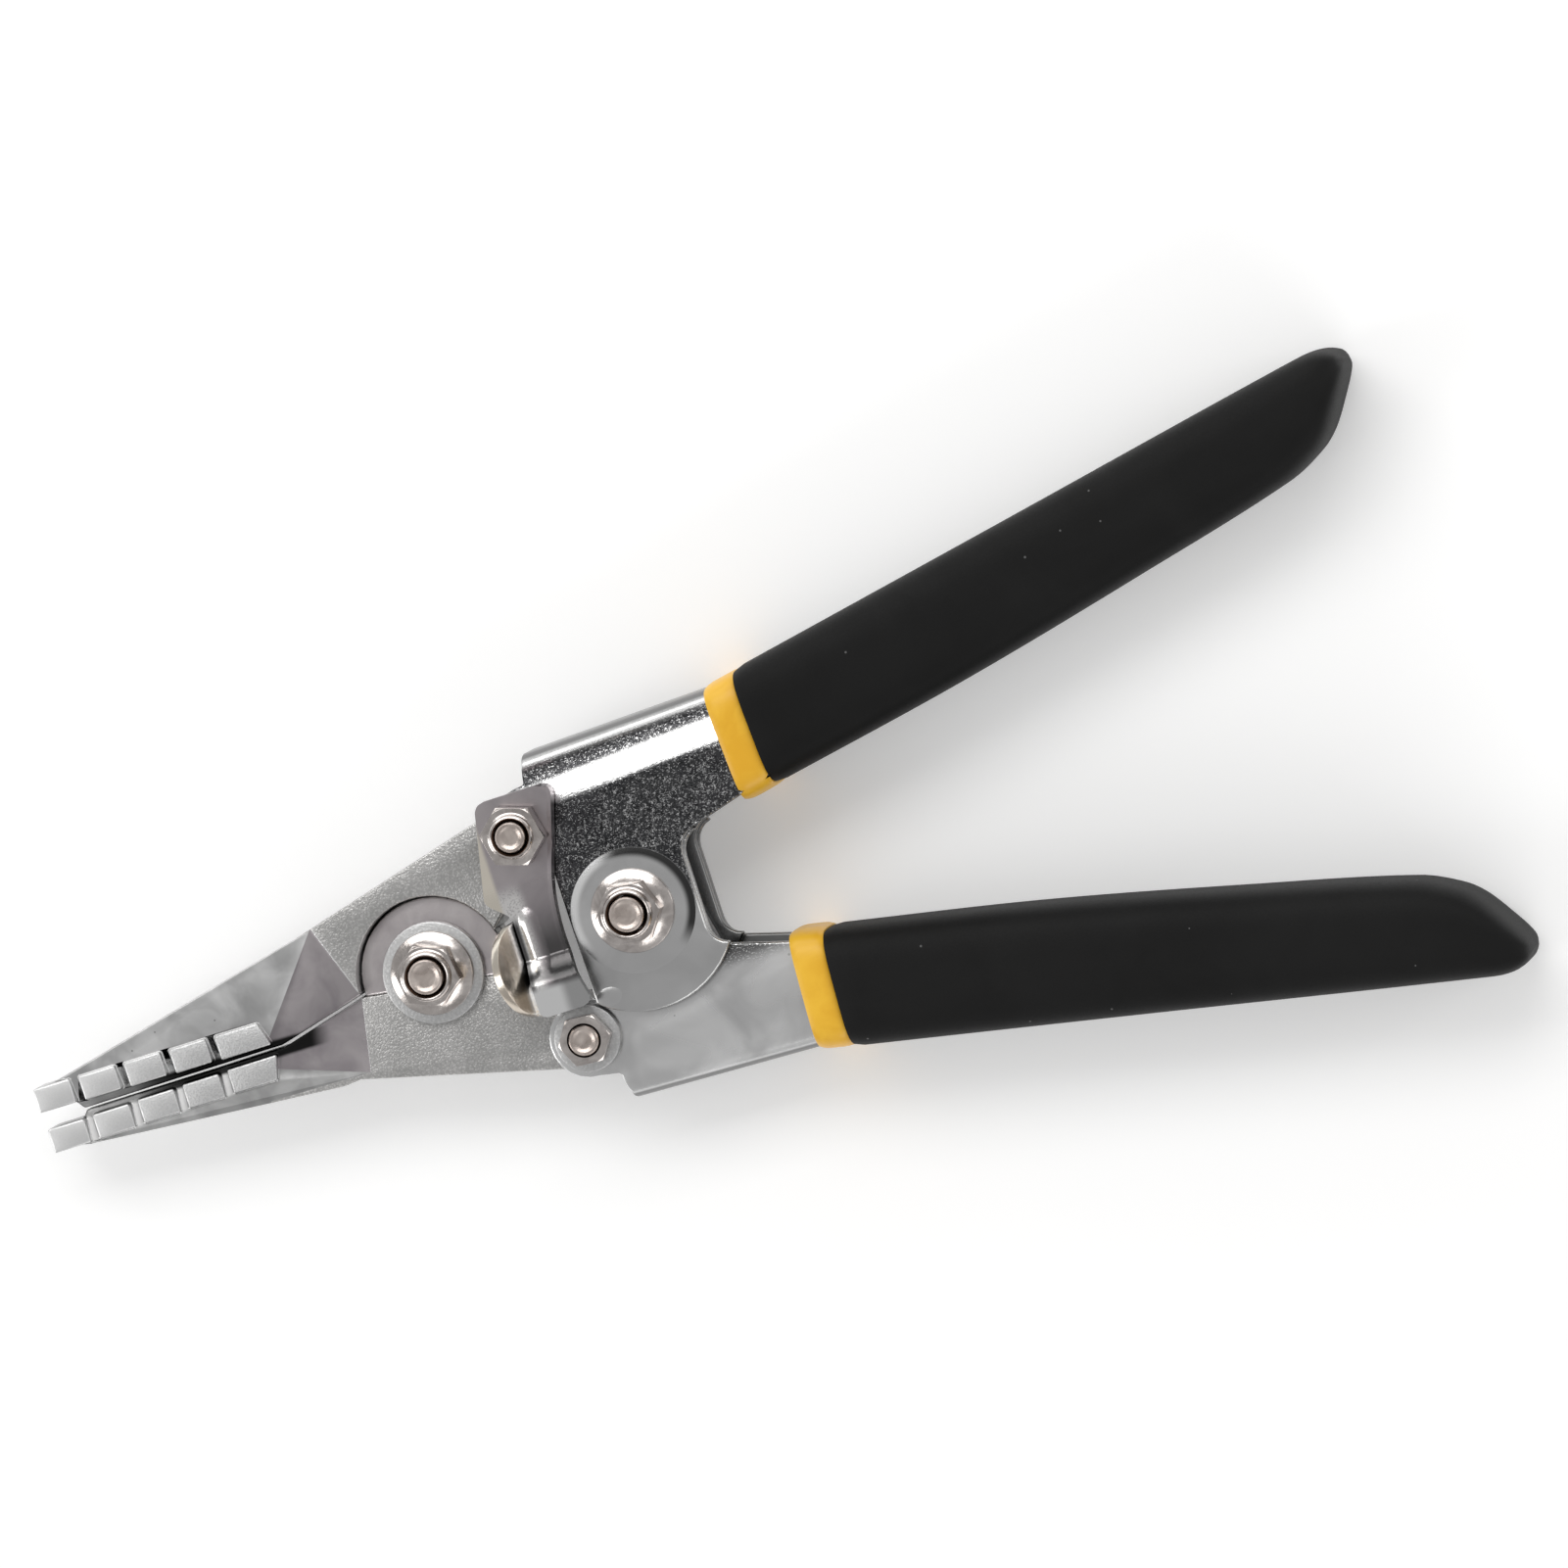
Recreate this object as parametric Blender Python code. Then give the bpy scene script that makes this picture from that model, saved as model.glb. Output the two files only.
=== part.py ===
"""Compound-leverage hand snips with toothed bending jaws.

Two channel handles turn about the handle pivot. Each carries the tail of its own jaw on a
link bolt, and the jaws lap each other at the jaw pivot, so the four pivots form a kite.
The thumb latch swings on the upper link bolt.

Frame: the origin is the handle pivot's axis at the plane that the tool lies on.
+X runs from the jaws towards the handle ends, +Y towards the upper handle and +Z up.
Outlines are drawn in plan, with heights counted from the tool's middle plane.
"""

import math

import bmesh
import bpy
from mathutils import Matrix, Vector

MM = 0.001

# Linkage
LINK_X = -14.5 * MM
LINK_Y = 18.2 * MM
JAW_PIVOT_X = -36.5 * MM

# Stack through the thickness, counted from the middle plane
SHEET = 2.0 * MM
CLEARANCE = 0.3 * MM
LAP_HALF = 4.7 * MM

# Bolts
PIVOT_BOLT_R = 3.0 * MM
LINK_BOLT_R = 2.6 * MM
JAW_HOLE_PLAY = 0.15 * MM

# Jaws
LAP_DISC_R = 12.6 * MM
JAW_EYE_R = 5.4 * MM
BLADE_HALF = 3.2 * MM
TOOTH_HALF = 4.4 * MM
TOOTH_PITCH = 8.2 * MM
TOOTH_LENGTH = 6.6 * MM
TOOTH_DEPTH = 4.2 * MM
TOOTH_COUNT = 5
TOOTH_PROUD = 0.8 * MM
JAW_REACH = 72.6 * MM
HEEL_SLANT = 1.2 * MM
WEB_START = 5.6 * MM
WEB_SLANT = 1.5 * MM
UPPER_WEB_Y = -4.3 * MM
LOWER_WEB_Y = -4.62 * MM
UPPER_FACE_Y = -2.8 * MM
LOWER_FACE_Y = -5.8 * MM
UPPER_FACE_SLOPE = -0.020
LOWER_FACE_SLOPE = -0.015
LOWER_TIP_BACK = 0.3 * MM
BLADE_TIP_BACK = 0.5 * MM
LAP_START_ANGLE = 17.4
LAP_START_OUT = 0.1 * MM
UPPER_FLAT = (Vector((-30.0 * MM, -1.0 * MM)), Vector((-20.5 * MM, 10.0 * MM)))
LOWER_FLAT = (Vector((-30.0 * MM, -8.2 * MM)), Vector((-16.5 * MM, -12.7 * MM)))
UPPER_ROOT = Vector((-29.4 * MM, -4.15 * MM))
LOWER_ROOT = Vector((-29.0 * MM, -4.6 * MM))
UPPER_LAP_MEETS = Vector((-13.0 * MM, 0.1 * MM))
LOWER_LAP_MEETS = Vector((-13.2 * MM, -0.4 * MM))
UPPER_TIP_OUTER_Y = 0.8 * MM
LOWER_TIP_OUTER_Y = -9.6 * MM
LOWER_TIP_MIDDLE_Y = -8.0 * MM
UPPER_BLADE_OUTER = (
    Vector((-17.5 * MM, 13.3 * MM)),
    Vector((-20.5 * MM, 12.5 * MM)),
    Vector((-66.4 * MM, 2.1 * MM)),
)
LOWER_BLADE_OUTER = (
    Vector((-18.0 * MM, 13.6 * MM)),
    Vector((-20.7 * MM, -13.9 * MM)),
    Vector((-66.0 * MM, -10.3 * MM)),
)
UPPER_RIDGE = ((-17.5 * MM, 13.3 * MM), (-13.2 * MM, 1.0 * MM))
LOWER_RIDGE = ((-15.7 * MM, -12.6 * MM), (-13.4 * MM, -1.1 * MM))

# Handles
LOBE_PASS = 0.77 * MM
LUG_R = 6.8 * MM
CHEEK_FRONT_X = -10.9 * MM
CHEEK_REAR_X = 10.9 * MM
THROAT_FILLET_R = 4.0 * MM
THROAT_TOP_Y = 6.5 * MM
THROAT_FOOT_Y = -5.9 * MM
LOBE_REAR_DROP = 9.78 * MM
LUG_SHOULDER = 0.6 * MM
SPINE_FRONT_BACK = 0.5 * MM
SPINE_Y = 30.4 * MM
SPINE_BEND_X = 26.2 * MM
SPINE_BEND_RISE = 1.2 * MM
SPINE_ROUND = 3.5 * MM
HANDLE_ANGLE = math.radians(11.2)
GRIP_START = Vector((28.2 * MM, 22.9 * MM))
TANG_LENGTH = 98.0 * MM
TANG_OUTER = 8.3 * MM
TANG_INNER = 8.2 * MM
TANG_END_INNER = 5.3 * MM
TANG_SPACE_START = 21.0 * MM
TANG_SPACE_BACK = 20.0 * MM

# Grips and collars
GRIP_LENGTH = 117.0 * MM
GRIP_HALF_WIDTH = 10.2 * MM
MOUTH_LEAN = (-1.0 * MM, 1.9 * MM)
GRIP_ROUND = 5.0 * MM
GRIP_INNER_SIDE = ((0.30, 10.4), (0.60, 9.2), (0.84, 7.7))
GRIP_END = (
    (11.5, -5.8), (8.0, -3.7), (4.2, 0.1), (0.8, 4.0), (0.0, 5.8), (1.0, 7.8), (4.0, 9.4), (8.5, 9.9)
)
GRIP_OUTER_BULGE = (0.45, 10.0)
COLLAR_WIDTH = 5.4 * MM
COLLAR_INNER_SET = 0.9 * MM
COLLAR_OUTER_SET = 0.5 * MM
COLLAR_LEAN = 0.6 * MM
COLLAR_WALL = 1.4 * MM
COLLAR_ROUND = 0.5 * MM

# Latch
LATCH_SHEET = 2.0 * MM
LATCH_TOP_Y = 25.0 * MM
LATCH_END_Y = -12.5 * MM
LATCH_LEFT_X = -19.6 * MM
LATCH_HOLLOW_R = 37.7 * MM
LATCH_WAIST_X = -12.1 * MM
JOGGLE_Y = -6.2 * MM
LATCH_PASS = 0.5 * MM
TAB_LENGTH = 16.6 * MM
TAB_REACH = 8.0 * MM
TAB_TILT = math.radians(50)
LATCH_NECK_X = -23.3 * MM
LATCH_NECK_Y = 9.0 * MM
LATCH_NECK_SLANT = 0.22
LATCH_SHOULDER = (-8.9 * MM, 15.0 * MM)
LATCH_SHOULDER_SLANT = 0.41
JOGGLE_OVERLAP = 2.4 * MM
JOGGLE_INSET = 0.1 * MM
LATCH_HOLLOW_Y = -0.4 * MM
LATCH_RIM_STEP = 3.2 * MM
TAB_ROOT = 1.2 * MM
TAB_END_GAP = 0.2 * MM
TAB_BITE = 0.8
UNDERPASS_RIGHT_X = -5.0 * MM

# Nuts, washers and heads
BIG_FLANGE_R = 7.1 * MM
BIG_HEX_R = 5.6 * MM
SMALL_HEX_R = 4.6 * MM
BIG_WASHER_R = 8.7 * MM
BIG_WASHER_THICK = 1.4 * MM
SMALL_WASHER_R = 5.7 * MM
SMALL_WASHER_THICK = 1.0 * MM
PIVOT_HEAD_R = 6.0 * MM
LINK_HEAD_R = 5.0 * MM
JAW_HEAD_THICK = 3.5 * MM
LINK_HEAD_THICK = 1.9 * MM
SMALL_NUT_HEIGHT = 2.7 * MM
BIG_NUT_HEIGHT = 5.2 * MM
BIG_COLLAR_R = 4.2 * MM
MIDDLE_HEX_R = 5.5 * MM
MIDDLE_NUT_HEIGHT = 4.1 * MM
MIDDLE_COLLAR_R = 3.7 * MM
COLLAR_RISE = 1.1 * MM
HEX_CHAMFER = 0.86
CHAMFER_STEEPNESS = 0.55
FLANGE_RIM = 0.8 * MM
FLANGE_RISE = 2.0 * MM
FLANGE_TOP_SHARE = 0.8
SMALL_EDGE = 0.3 * MM
SEAT_OVERLAP = 0.1 * MM
HEAD_EDGE = 0.4 * MM
BOLT_CHAMFER = 0.5 * MM
BOLT_PROUD = 0.5 * MM

# Bush and spring on the handle pivot
BUSH_R = 5.2 * MM
SPRING_WIRE_R = 0.8 * MM
SPRING_COIL_R = 7.2 * MM
SPRING_COILS = 4
SPRING_PITCH = 1.9 * MM
SPRING_LEG = 27.5 * MM
SPRING_LEG_ANGLE = math.radians(78)

# Heights that follow from the stack
INNER_CHEEK = LAP_HALF + CLEARANCE
INNER_CHEEK_TOP = INNER_CHEEK + SHEET
OUTER_CHEEK = INNER_CHEEK_TOP + CLEARANCE
OUTER_CHEEK_TOP = OUTER_CHEEK + SHEET
TAIL_TOP = OUTER_CHEEK - CLEARANCE
MIDDLE_HEIGHT = OUTER_CHEEK_TOP + CLEARANCE + LINK_HEAD_THICK
FLOOR = -MIDDLE_HEIGHT
GRIP_HALF_THICK = MIDDLE_HEIGHT
COLLAR_HALF_THICK = OUTER_CHEEK_TOP + COLLAR_WALL
LOWER_BOLT_TOP = INNER_CHEEK_TOP + 2 * CLEARANCE + SMALL_WASHER_THICK + SMALL_NUT_HEIGHT + BOLT_PROUD
LATCH_LOW = OUTER_CHEEK_TOP + CLEARANCE
LATCH_RAISED = LOWER_BOLT_TOP + LATCH_PASS

# Sizes in plan that follow from others
LAP_RECESS_R = LAP_DISC_R + 0.4 * MM
DISC_SET = 0.15 * MM
LOBE_R = math.hypot(LINK_X, LINK_Y) - JAW_EYE_R - LOBE_PASS

UPPER_LINK = Vector((LINK_X, LINK_Y))
LOWER_LINK = Vector((LINK_X, -LINK_Y))
JAW_PIVOT = Vector((JAW_PIVOT_X, 0.0))
HANDLE_PIVOT = Vector((0.0, 0.0))
OVER = 0.2


def clear_scene():
    for item in list(bpy.data.objects):
        bpy.data.objects.remove(item, do_unlink=True)


clear_scene()
PARTS = bpy.data.collections.new("bending_snips")
CUTTERS = bpy.data.collections.new("cutters")
for made in (PARTS, CUTTERS):
    bpy.context.scene.collection.children.link(made)
CUTTERS.hide_render = True


# Plan outlines


def arc(centre, radius, start, end, steps):
    """Points on an arc between two angles in degrees; an end below the start runs clockwise."""
    points = []
    for index in range(steps + 1):
        angle = math.radians(start + (end - start) * index / steps)
        points.append(Vector((centre[0] + radius * math.cos(angle), centre[1] + radius * math.sin(angle))))
    return points


def angle_of(point, centre):
    return math.degrees(math.atan2(point[1] - centre[1], point[0] - centre[0]))


def tangent_angle(point, centre, radius, side):
    """Angle, seen from the centre, where a line from the point touches the circle."""
    away = Vector((point[0] - centre[0], point[1] - centre[1]))
    return angle_of(point, centre) + side * math.degrees(math.acos(radius / away.length))


def mirrored(outline):
    return [Vector((point[0], -point[1])) for point in reversed(outline)]


def moved(outline, offset):
    return [Vector((point[0] + offset[0], point[1] + offset[1])) for point in outline]


def on_grip(along, out):
    """A point of the upper grip's own frame: along the handle, and out from its middle line."""
    forward = Vector((math.cos(HANDLE_ANGLE), math.sin(HANDLE_ANGLE)))
    outward = Vector((-forward.y, forward.x))
    return GRIP_START + along * forward + out * outward


# Solids


def link(thing, collection):
    collection.objects.link(thing)
    if collection is CUTTERS:
        thing.display_type = "WIRE"
        thing.hide_render = True
    return thing


def object_from(name, shape, collection=PARTS):
    mesh = bpy.data.meshes.new(name)
    bmesh.ops.recalc_face_normals(shape, faces=shape.faces)
    shape.to_mesh(mesh)
    shape.free()
    return link(bpy.data.objects.new(name, mesh), collection)


def plate(name, outline, low, high, collection=PARTS, holes=(), rounded=None, radius=0.0, segments=3):
    """A flat plate between two heights. Rim edges that the test `rounded` accepts are rounded."""
    curve = bpy.data.curves.new(name, "CURVE")
    curve.dimensions = "2D"
    curve.fill_mode = "BOTH"
    curve.extrude = (high - low) / 2
    for loop in (outline, *holes):
        spline = curve.splines.new("POLY")
        spline.points.add(len(loop) - 1)
        for point, place in zip(spline.points, loop):
            point.co = (place[0], place[1], 0.0, 1.0)
        spline.use_cyclic_u = True
    drawn = bpy.data.objects.new(name + "_outline", curve)
    bpy.context.scene.collection.objects.link(drawn)
    drawn.location.z = (low + high) / 2
    graph = bpy.context.evaluated_depsgraph_get()
    mesh = bpy.data.meshes.new_from_object(drawn.evaluated_get(graph))
    mesh.transform(Matrix.Translation(drawn.location))
    bpy.data.objects.remove(drawn, do_unlink=True)
    shape = bmesh.new()
    shape.from_mesh(mesh)
    bpy.data.meshes.remove(mesh)
    bmesh.ops.remove_doubles(shape, verts=shape.verts, dist=1e-6)
    if rounded:
        middle = (low + high) / 2
        flat = [face for face in shape.faces if abs(face.normal.z) > 0.9]
        inside = [edge for edge in shape.edges if all(face in flat for face in edge.link_faces)]
        bmesh.ops.dissolve_edges(shape, edges=inside)
        rim = []
        for edge in shape.edges:
            ends = [vert.co for vert in edge.verts]
            level = abs(ends[0].z - ends[1].z) < 1e-7 and abs(ends[0].z - middle) > 1e-5
            if level and rounded(ends[0], ends[1]):
                rim.append(edge)
        bmesh.ops.bevel(shape, geom=rim, offset=radius, segments=segments, affect="EDGES", profile=0.5)
    return object_from(name, shape, collection)


def everywhere(_first, _second):
    return True


def cylinder(name, centre, radius, low, high, collection=CUTTERS, sides=48):
    shape = bmesh.new()
    place = Matrix.Translation((centre[0], centre[1], (low + high) / 2))
    bmesh.ops.create_cone(
        shape, cap_ends=True, segments=sides, radius1=radius, radius2=radius, depth=high - low, matrix=place
    )
    return object_from(name, shape, collection)


def turned(name, centre, profile, collection=PARTS, sides=32):
    """A solid of revolution about a vertical axis, from (radius, height) points."""
    shape = bmesh.new()
    verts = [shape.verts.new((radius, 0.0, height)) for radius, height in profile]
    edges = [shape.edges.new((verts[i], verts[(i + 1) % len(verts)])) for i in range(len(verts))]
    bmesh.ops.spin(
        shape, geom=verts + edges, cent=(0, 0, 0), axis=(0, 0, 1), angle=2 * math.pi, steps=sides, use_merge=True
    )
    bmesh.ops.remove_doubles(shape, verts=shape.verts, dist=1e-6)
    bmesh.ops.translate(shape, verts=shape.verts, vec=(centre[0], centre[1], 0.0))
    return object_from(name, shape, collection)


def boolean(target, other, operation):
    step = target.modifiers.new(operation.lower() + "_" + other.name, "BOOLEAN")
    step.operation = operation
    step.object = other
    return target


def cut(target, *others):
    for other in others:
        boolean(target, other, "DIFFERENCE")
    return target


def join(target, *others):
    for other in others:
        boolean(target, other, "UNION")
    return target


def keep_above(name, planes):
    """A block trimmed to the space on the far side of every (point, normal) plane."""
    shape = bmesh.new()
    bmesh.ops.create_cube(shape, size=2 * OVER)
    for point, normal in planes:
        whole = shape.verts[:] + shape.edges[:] + shape.faces[:]
        split = bmesh.ops.bisect_plane(shape, geom=whole, plane_co=point, plane_no=normal, clear_inner=True)
        edges = [item for item in split["geom_cut"] if isinstance(item, bmesh.types.BMEdge)]
        bmesh.ops.contextual_create(shape, geom=edges)
    return object_from(name, shape, CUTTERS)


# Materials


def plain_material(name, colour, metallic, roughness):
    material = bpy.data.materials.new(name)
    material.use_nodes = True
    shader = material.node_tree.nodes["Principled BSDF"]
    shader.inputs["Base Color"].default_value = (*colour, 1.0)
    shader.inputs["Metallic"].default_value = metallic
    shader.inputs["Roughness"].default_value = roughness
    material.diffuse_color = (*colour, 1.0)
    return material


JAW_PLATING = plain_material("jaw_plating", (0.52, 0.52, 0.52), 1.0, 0.38)
HANDLE_PLATING = plain_material("handle_plating", (0.60, 0.60, 0.60), 1.0, 0.16)
LATCH_PLATING = plain_material("latch_plating", (0.50, 0.47, 0.49), 1.0, 0.28)
FASTENER_PLATING = plain_material("fastener_plating", (0.66, 0.62, 0.59), 1.0, 0.22)
WASHER_STEEL = plain_material("washer_steel", (0.45, 0.44, 0.44), 1.0, 0.45)
SPRING_STEEL = plain_material("spring_steel", (0.30, 0.30, 0.31), 1.0, 0.35)
GRIP_BLACK = plain_material("grip_black", (0.012, 0.012, 0.013), 0.0, 0.55)
COLLAR_YELLOW = plain_material("collar_yellow", (0.83, 0.46, 0.03), 0.0, 0.35)


# Jaws


def eyed_tail(blade_outer):
    """The upper jaw's tail, from the lap round its eye to the blade's outer edge."""
    lap_start = arc((0.0, 0.0), LAP_RECESS_R + LAP_START_OUT, LAP_START_ANGLE, 90, 1)[0]
    link_point = UPPER_LINK - JAW_PIVOT
    start = tangent_angle(lap_start, link_point, JAW_EYE_R, 1)
    end = tangent_angle(blade_outer, link_point, JAW_EYE_R, -1) % 360
    return [lap_start] + arc(link_point, JAW_EYE_R, start, end, 12) + [blade_outer]


def tooth_row(name, face_tip, face_slope, side):
    """The raised blocks along a blade's mating edge, the last one with a slanted heel."""
    blocks = []
    for index in range(TOOTH_COUNT):
        left = face_tip[0] + index * TOOTH_PITCH
        right = left + TOOTH_LENGTH
        heel = right
        if index == TOOTH_COUNT - 1:
            right += HEEL_SLANT
            heel = right + HEEL_SLANT
        low = face_tip[1] + side * face_slope * (left - face_tip[0])
        far = low + side * TOOTH_DEPTH
        corners = [(left, low), (heel, low), (right, far), (left, far)]
        if side < 0:
            corners.reverse()
        blocks.append(
            plate(f"{name}_block_{index}", moved(corners, JAW_PIVOT), -TOOTH_HALF, TOOTH_HALF, CUTTERS)
        )
    return blocks


def facet_cutter(name, ridge, foot, corner, tip, body, flat):
    """Trims a blade below its body: one plane from the ridge to the foot, one along the flat.

    The heights of body and flat carry the sign of the side that is trimmed.
    """
    up = 1.0 if body > 0 else -1.0
    ridge_a, ridge_b = (Vector((*point, body)) for point in ridge)
    foot_at = Vector((*foot, flat))
    slope = (ridge_b - ridge_a).cross(foot_at - ridge_a).normalized()
    slope *= up if slope.z > 0 else -up
    drop = slope.x * (corner[0] - foot_at.x) + slope.y * (corner[1] - foot_at.y)
    corner_at = Vector((*corner, flat - drop / slope.z))
    tip_at = Vector((*tip, flat))
    level = (corner_at - foot_at).cross(tip_at - foot_at).normalized()
    level *= up if level.z > 0 else -up
    shift = Vector((JAW_PIVOT_X, 0.0, 0.0))
    return keep_above(name, [(foot_at + shift, slope), (foot_at + shift, level)])


def jaw(name, outline, teeth, ridge, foot, corner, tip, side):
    """One jaw in plan about its pivot. Side is 1 for the jaw whose lap lies behind, -1 in front."""
    low, high = (-LAP_HALF, TAIL_TOP) if side > 0 else (-TAIL_TOP, LAP_HALF)
    body = plate(name, moved(outline, JAW_PIVOT), low, high)
    front = facet_cutter(name + "_front_facet", ridge, foot, corner, tip, high, BLADE_HALF)
    back = facet_cutter(name + "_back_facet", ridge, foot, corner, tip, low, -BLADE_HALF)
    cut(body, front, back)
    lap = CLEARANCE / 2
    if side > 0:
        recess = cylinder(name + "_recess", JAW_PIVOT, LAP_RECESS_R, -lap, OVER)
        disc = cylinder(name + "_disc", JAW_PIVOT, LAP_DISC_R, -LAP_HALF + DISC_SET, -lap - DISC_SET / 3)
    else:
        recess = cylinder(name + "_recess", JAW_PIVOT, LAP_RECESS_R, -OVER, lap)
        disc = cylinder(name + "_disc", JAW_PIVOT, LAP_DISC_R, lap + DISC_SET / 3, LAP_HALF - DISC_SET)
    cut(body, recess)
    join(body, disc, *tooth_row(name, *teeth, side))
    play = CLEARANCE + (JAW_HOLE_PLAY if side > 0 else 0.0)
    eye_at = UPPER_LINK if side > 0 else LOWER_LINK
    pivot_hole = cylinder(name + "_pivot_hole", JAW_PIVOT, PIVOT_BOLT_R + play, -OVER, OVER)
    eye = cylinder(name + "_eye", eye_at, LINK_BOLT_R + CLEARANCE, -OVER, OVER)
    cut(body, pivot_hole, eye)
    body.data.materials.append(JAW_PLATING)
    return body


def upper_jaw():
    blade_outer, blade_corner, blade_nose = UPPER_BLADE_OUTER
    tip_x = -JAW_REACH
    web_x = tip_x + WEB_START
    outline = [
        Vector((tip_x + BLADE_TIP_BACK, UPPER_FACE_Y + TOOTH_PROUD)),
        Vector((web_x, UPPER_FACE_Y + TOOTH_PROUD)),
        Vector((web_x + WEB_SLANT, UPPER_WEB_Y)),
        UPPER_ROOT,
        UPPER_LAP_MEETS,
    ]
    outline += eyed_tail(blade_outer)
    outline += [blade_corner, blade_nose, Vector((tip_x + BLADE_TIP_BACK, UPPER_TIP_OUTER_Y))]
    return jaw(
        "upper_jaw",
        outline,
        (Vector((tip_x, UPPER_FACE_Y)), UPPER_FACE_SLOPE),
        UPPER_RIDGE,
        *UPPER_FLAT,
        (tip_x + BLADE_TIP_BACK, 0.0),
        1,
    )


def lower_jaw():
    blade_outer, blade_corner, blade_nose = LOWER_BLADE_OUTER
    tip_x = -JAW_REACH + LOWER_TIP_BACK
    web_x = tip_x + WEB_START
    outline = [
        LOWER_LAP_MEETS,
        LOWER_ROOT,
        Vector((web_x + WEB_SLANT, LOWER_WEB_Y)),
        Vector((web_x, LOWER_FACE_Y - TOOTH_PROUD)),
        Vector((tip_x + BLADE_TIP_BACK, LOWER_FACE_Y - TOOTH_PROUD)),
        Vector((tip_x + BLADE_TIP_BACK, LOWER_TIP_OUTER_Y)),
        blade_nose,
        blade_corner,
    ] + mirrored(eyed_tail(blade_outer))
    return jaw(
        "lower_jaw",
        outline,
        (Vector((tip_x, LOWER_FACE_Y)), LOWER_FACE_SLOPE),
        LOWER_RIDGE,
        *LOWER_FLAT,
        (tip_x + BLADE_TIP_BACK, LOWER_TIP_MIDDLE_Y),
        -1,
    )


# Handles, collars and grips: the upper side is drawn, and a half turn about X makes the lower


def spine_line(grow):
    """The spine's outer face, or a line a little outside it, from the lug end to the tang's end."""
    rise = SPINE_Y + SPINE_BEND_RISE
    return [
        Vector((CHEEK_FRONT_X + SPINE_FRONT_BACK, SPINE_Y + grow)),
        Vector((SPINE_BEND_X, rise + grow)),
        on_grip(TANG_LENGTH + grow, TANG_OUTER + grow),
    ]


def inner_line(grow):
    """The cheek's inner edge, from the tang's end back to the throat."""
    return [on_grip(TANG_LENGTH + grow, -TANG_END_INNER - grow), on_grip(0.0, -TANG_INNER - grow)]


def cheek_outline():
    lobe_front = math.degrees(math.acos(CHEEK_FRONT_X / LOBE_R))
    foot_centre = (CHEEK_REAR_X + THROAT_FILLET_R, THROAT_FOOT_Y)
    throat_centre = (CHEEK_REAR_X + THROAT_FILLET_R, THROAT_TOP_Y)
    lobe_rear = -math.degrees(math.asin(LOBE_REAR_DROP / LOBE_R))
    lug_meets = math.degrees(math.acos((CHEEK_FRONT_X - LINK_X) / LUG_R))
    outline = arc(HANDLE_PIVOT, LOBE_R, -lobe_front, lobe_rear, 14)
    outline += arc(foot_centre, THROAT_FILLET_R, 256, 180, 5)[1:]
    outline += arc(throat_centre, THROAT_FILLET_R, 180, 109, 5)
    outline += list(reversed(inner_line(0.0)))
    outline += list(reversed(spine_line(0.0)))
    outline += [Vector((CHEEK_FRONT_X - LUG_SHOULDER / 2, UPPER_LINK.y + LUG_R + LUG_SHOULDER))]
    outline += arc(UPPER_LINK, LUG_R, 90, 360 - lug_meets, 14)
    return outline


def on_spine(first, second):
    """True for an edge that lies along the outside of the channel's spine."""
    return all(point.y > SPINE_Y - SPINE_ROUND and point.x > CHEEK_FRONT_X for point in (first, second))


def handle(name):
    outline = cheek_outline()
    body = plate(
        name, outline, -INNER_CHEEK_TOP, OUTER_CHEEK_TOP, rounded=on_spine, radius=SPINE_ROUND, segments=4
    )
    spine = spine_line(-SHEET)
    forward = Vector((math.cos(HANDLE_ANGLE), math.sin(HANDLE_ANGLE)))
    inside = [
        Vector((-OVER, spine[0].y)),
        spine[0],
        spine[1],
        spine[2] + OVER * forward,
        Vector((OVER, -OVER)),
        Vector((-OVER, -OVER)),
    ]
    inside.reverse()
    hollow = plate(
        name + "_hollow",
        inside,
        -INNER_CHEEK,
        OUTER_CHEEK,
        CUTTERS,
        rounded=lambda a, b: min(a.y, b.y) > SPINE_Y - 2 * SHEET,
        radius=SPINE_ROUND - SHEET,
        segments=2,
    )
    pivot_hole = cylinder(name + "_pivot_hole", HANDLE_PIVOT, PIVOT_BOLT_R + CLEARANCE, -OVER, OVER)
    link_hole = cylinder(name + "_link_hole", UPPER_LINK, LINK_BOLT_R + CLEARANCE, -OVER, OVER)
    cut(body, hollow, pivot_hole, link_hole)
    body.data.materials.append(HANDLE_PLATING)
    return body


def tang_space(name):
    """The room that the channel's tang needs inside a grip or a collar."""
    spine = spine_line(CLEARANCE)
    inner = inner_line(CLEARANCE)
    start = Vector((TANG_SPACE_START + CHEEK_FRONT_X + SPINE_FRONT_BACK, 0.0))
    low_corner = Vector((inner[1].x - TANG_SPACE_BACK, TANG_INNER))
    outline = [spine[0] + start, spine[1], spine[2], inner[0], inner[1], low_corner]
    outline.reverse()
    return plate(
        name,
        outline,
        -INNER_CHEEK_TOP - CLEARANCE,
        OUTER_CHEEK_TOP + CLEARANCE,
        CUTTERS,
        rounded=on_spine,
        radius=SPINE_ROUND,
        segments=3,
    )


def mouth_line(offset):
    """The line across the handle where the grip starts, or one parallel to it."""
    inner, outer = MOUTH_LEAN
    return [on_grip(inner + offset, -GRIP_HALF_WIDTH), on_grip(outer + offset, GRIP_HALF_WIDTH)]


def past_mouth(first, second):
    """True for an edge that isn't on the grip's mouth."""
    inner, outer = mouth_line(0.0)
    across = (outer - inner).normalized()
    off = [abs((point.xy - inner).cross(across)) for point in (first, second)]
    return max(off) > 0.01 * MM


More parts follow.
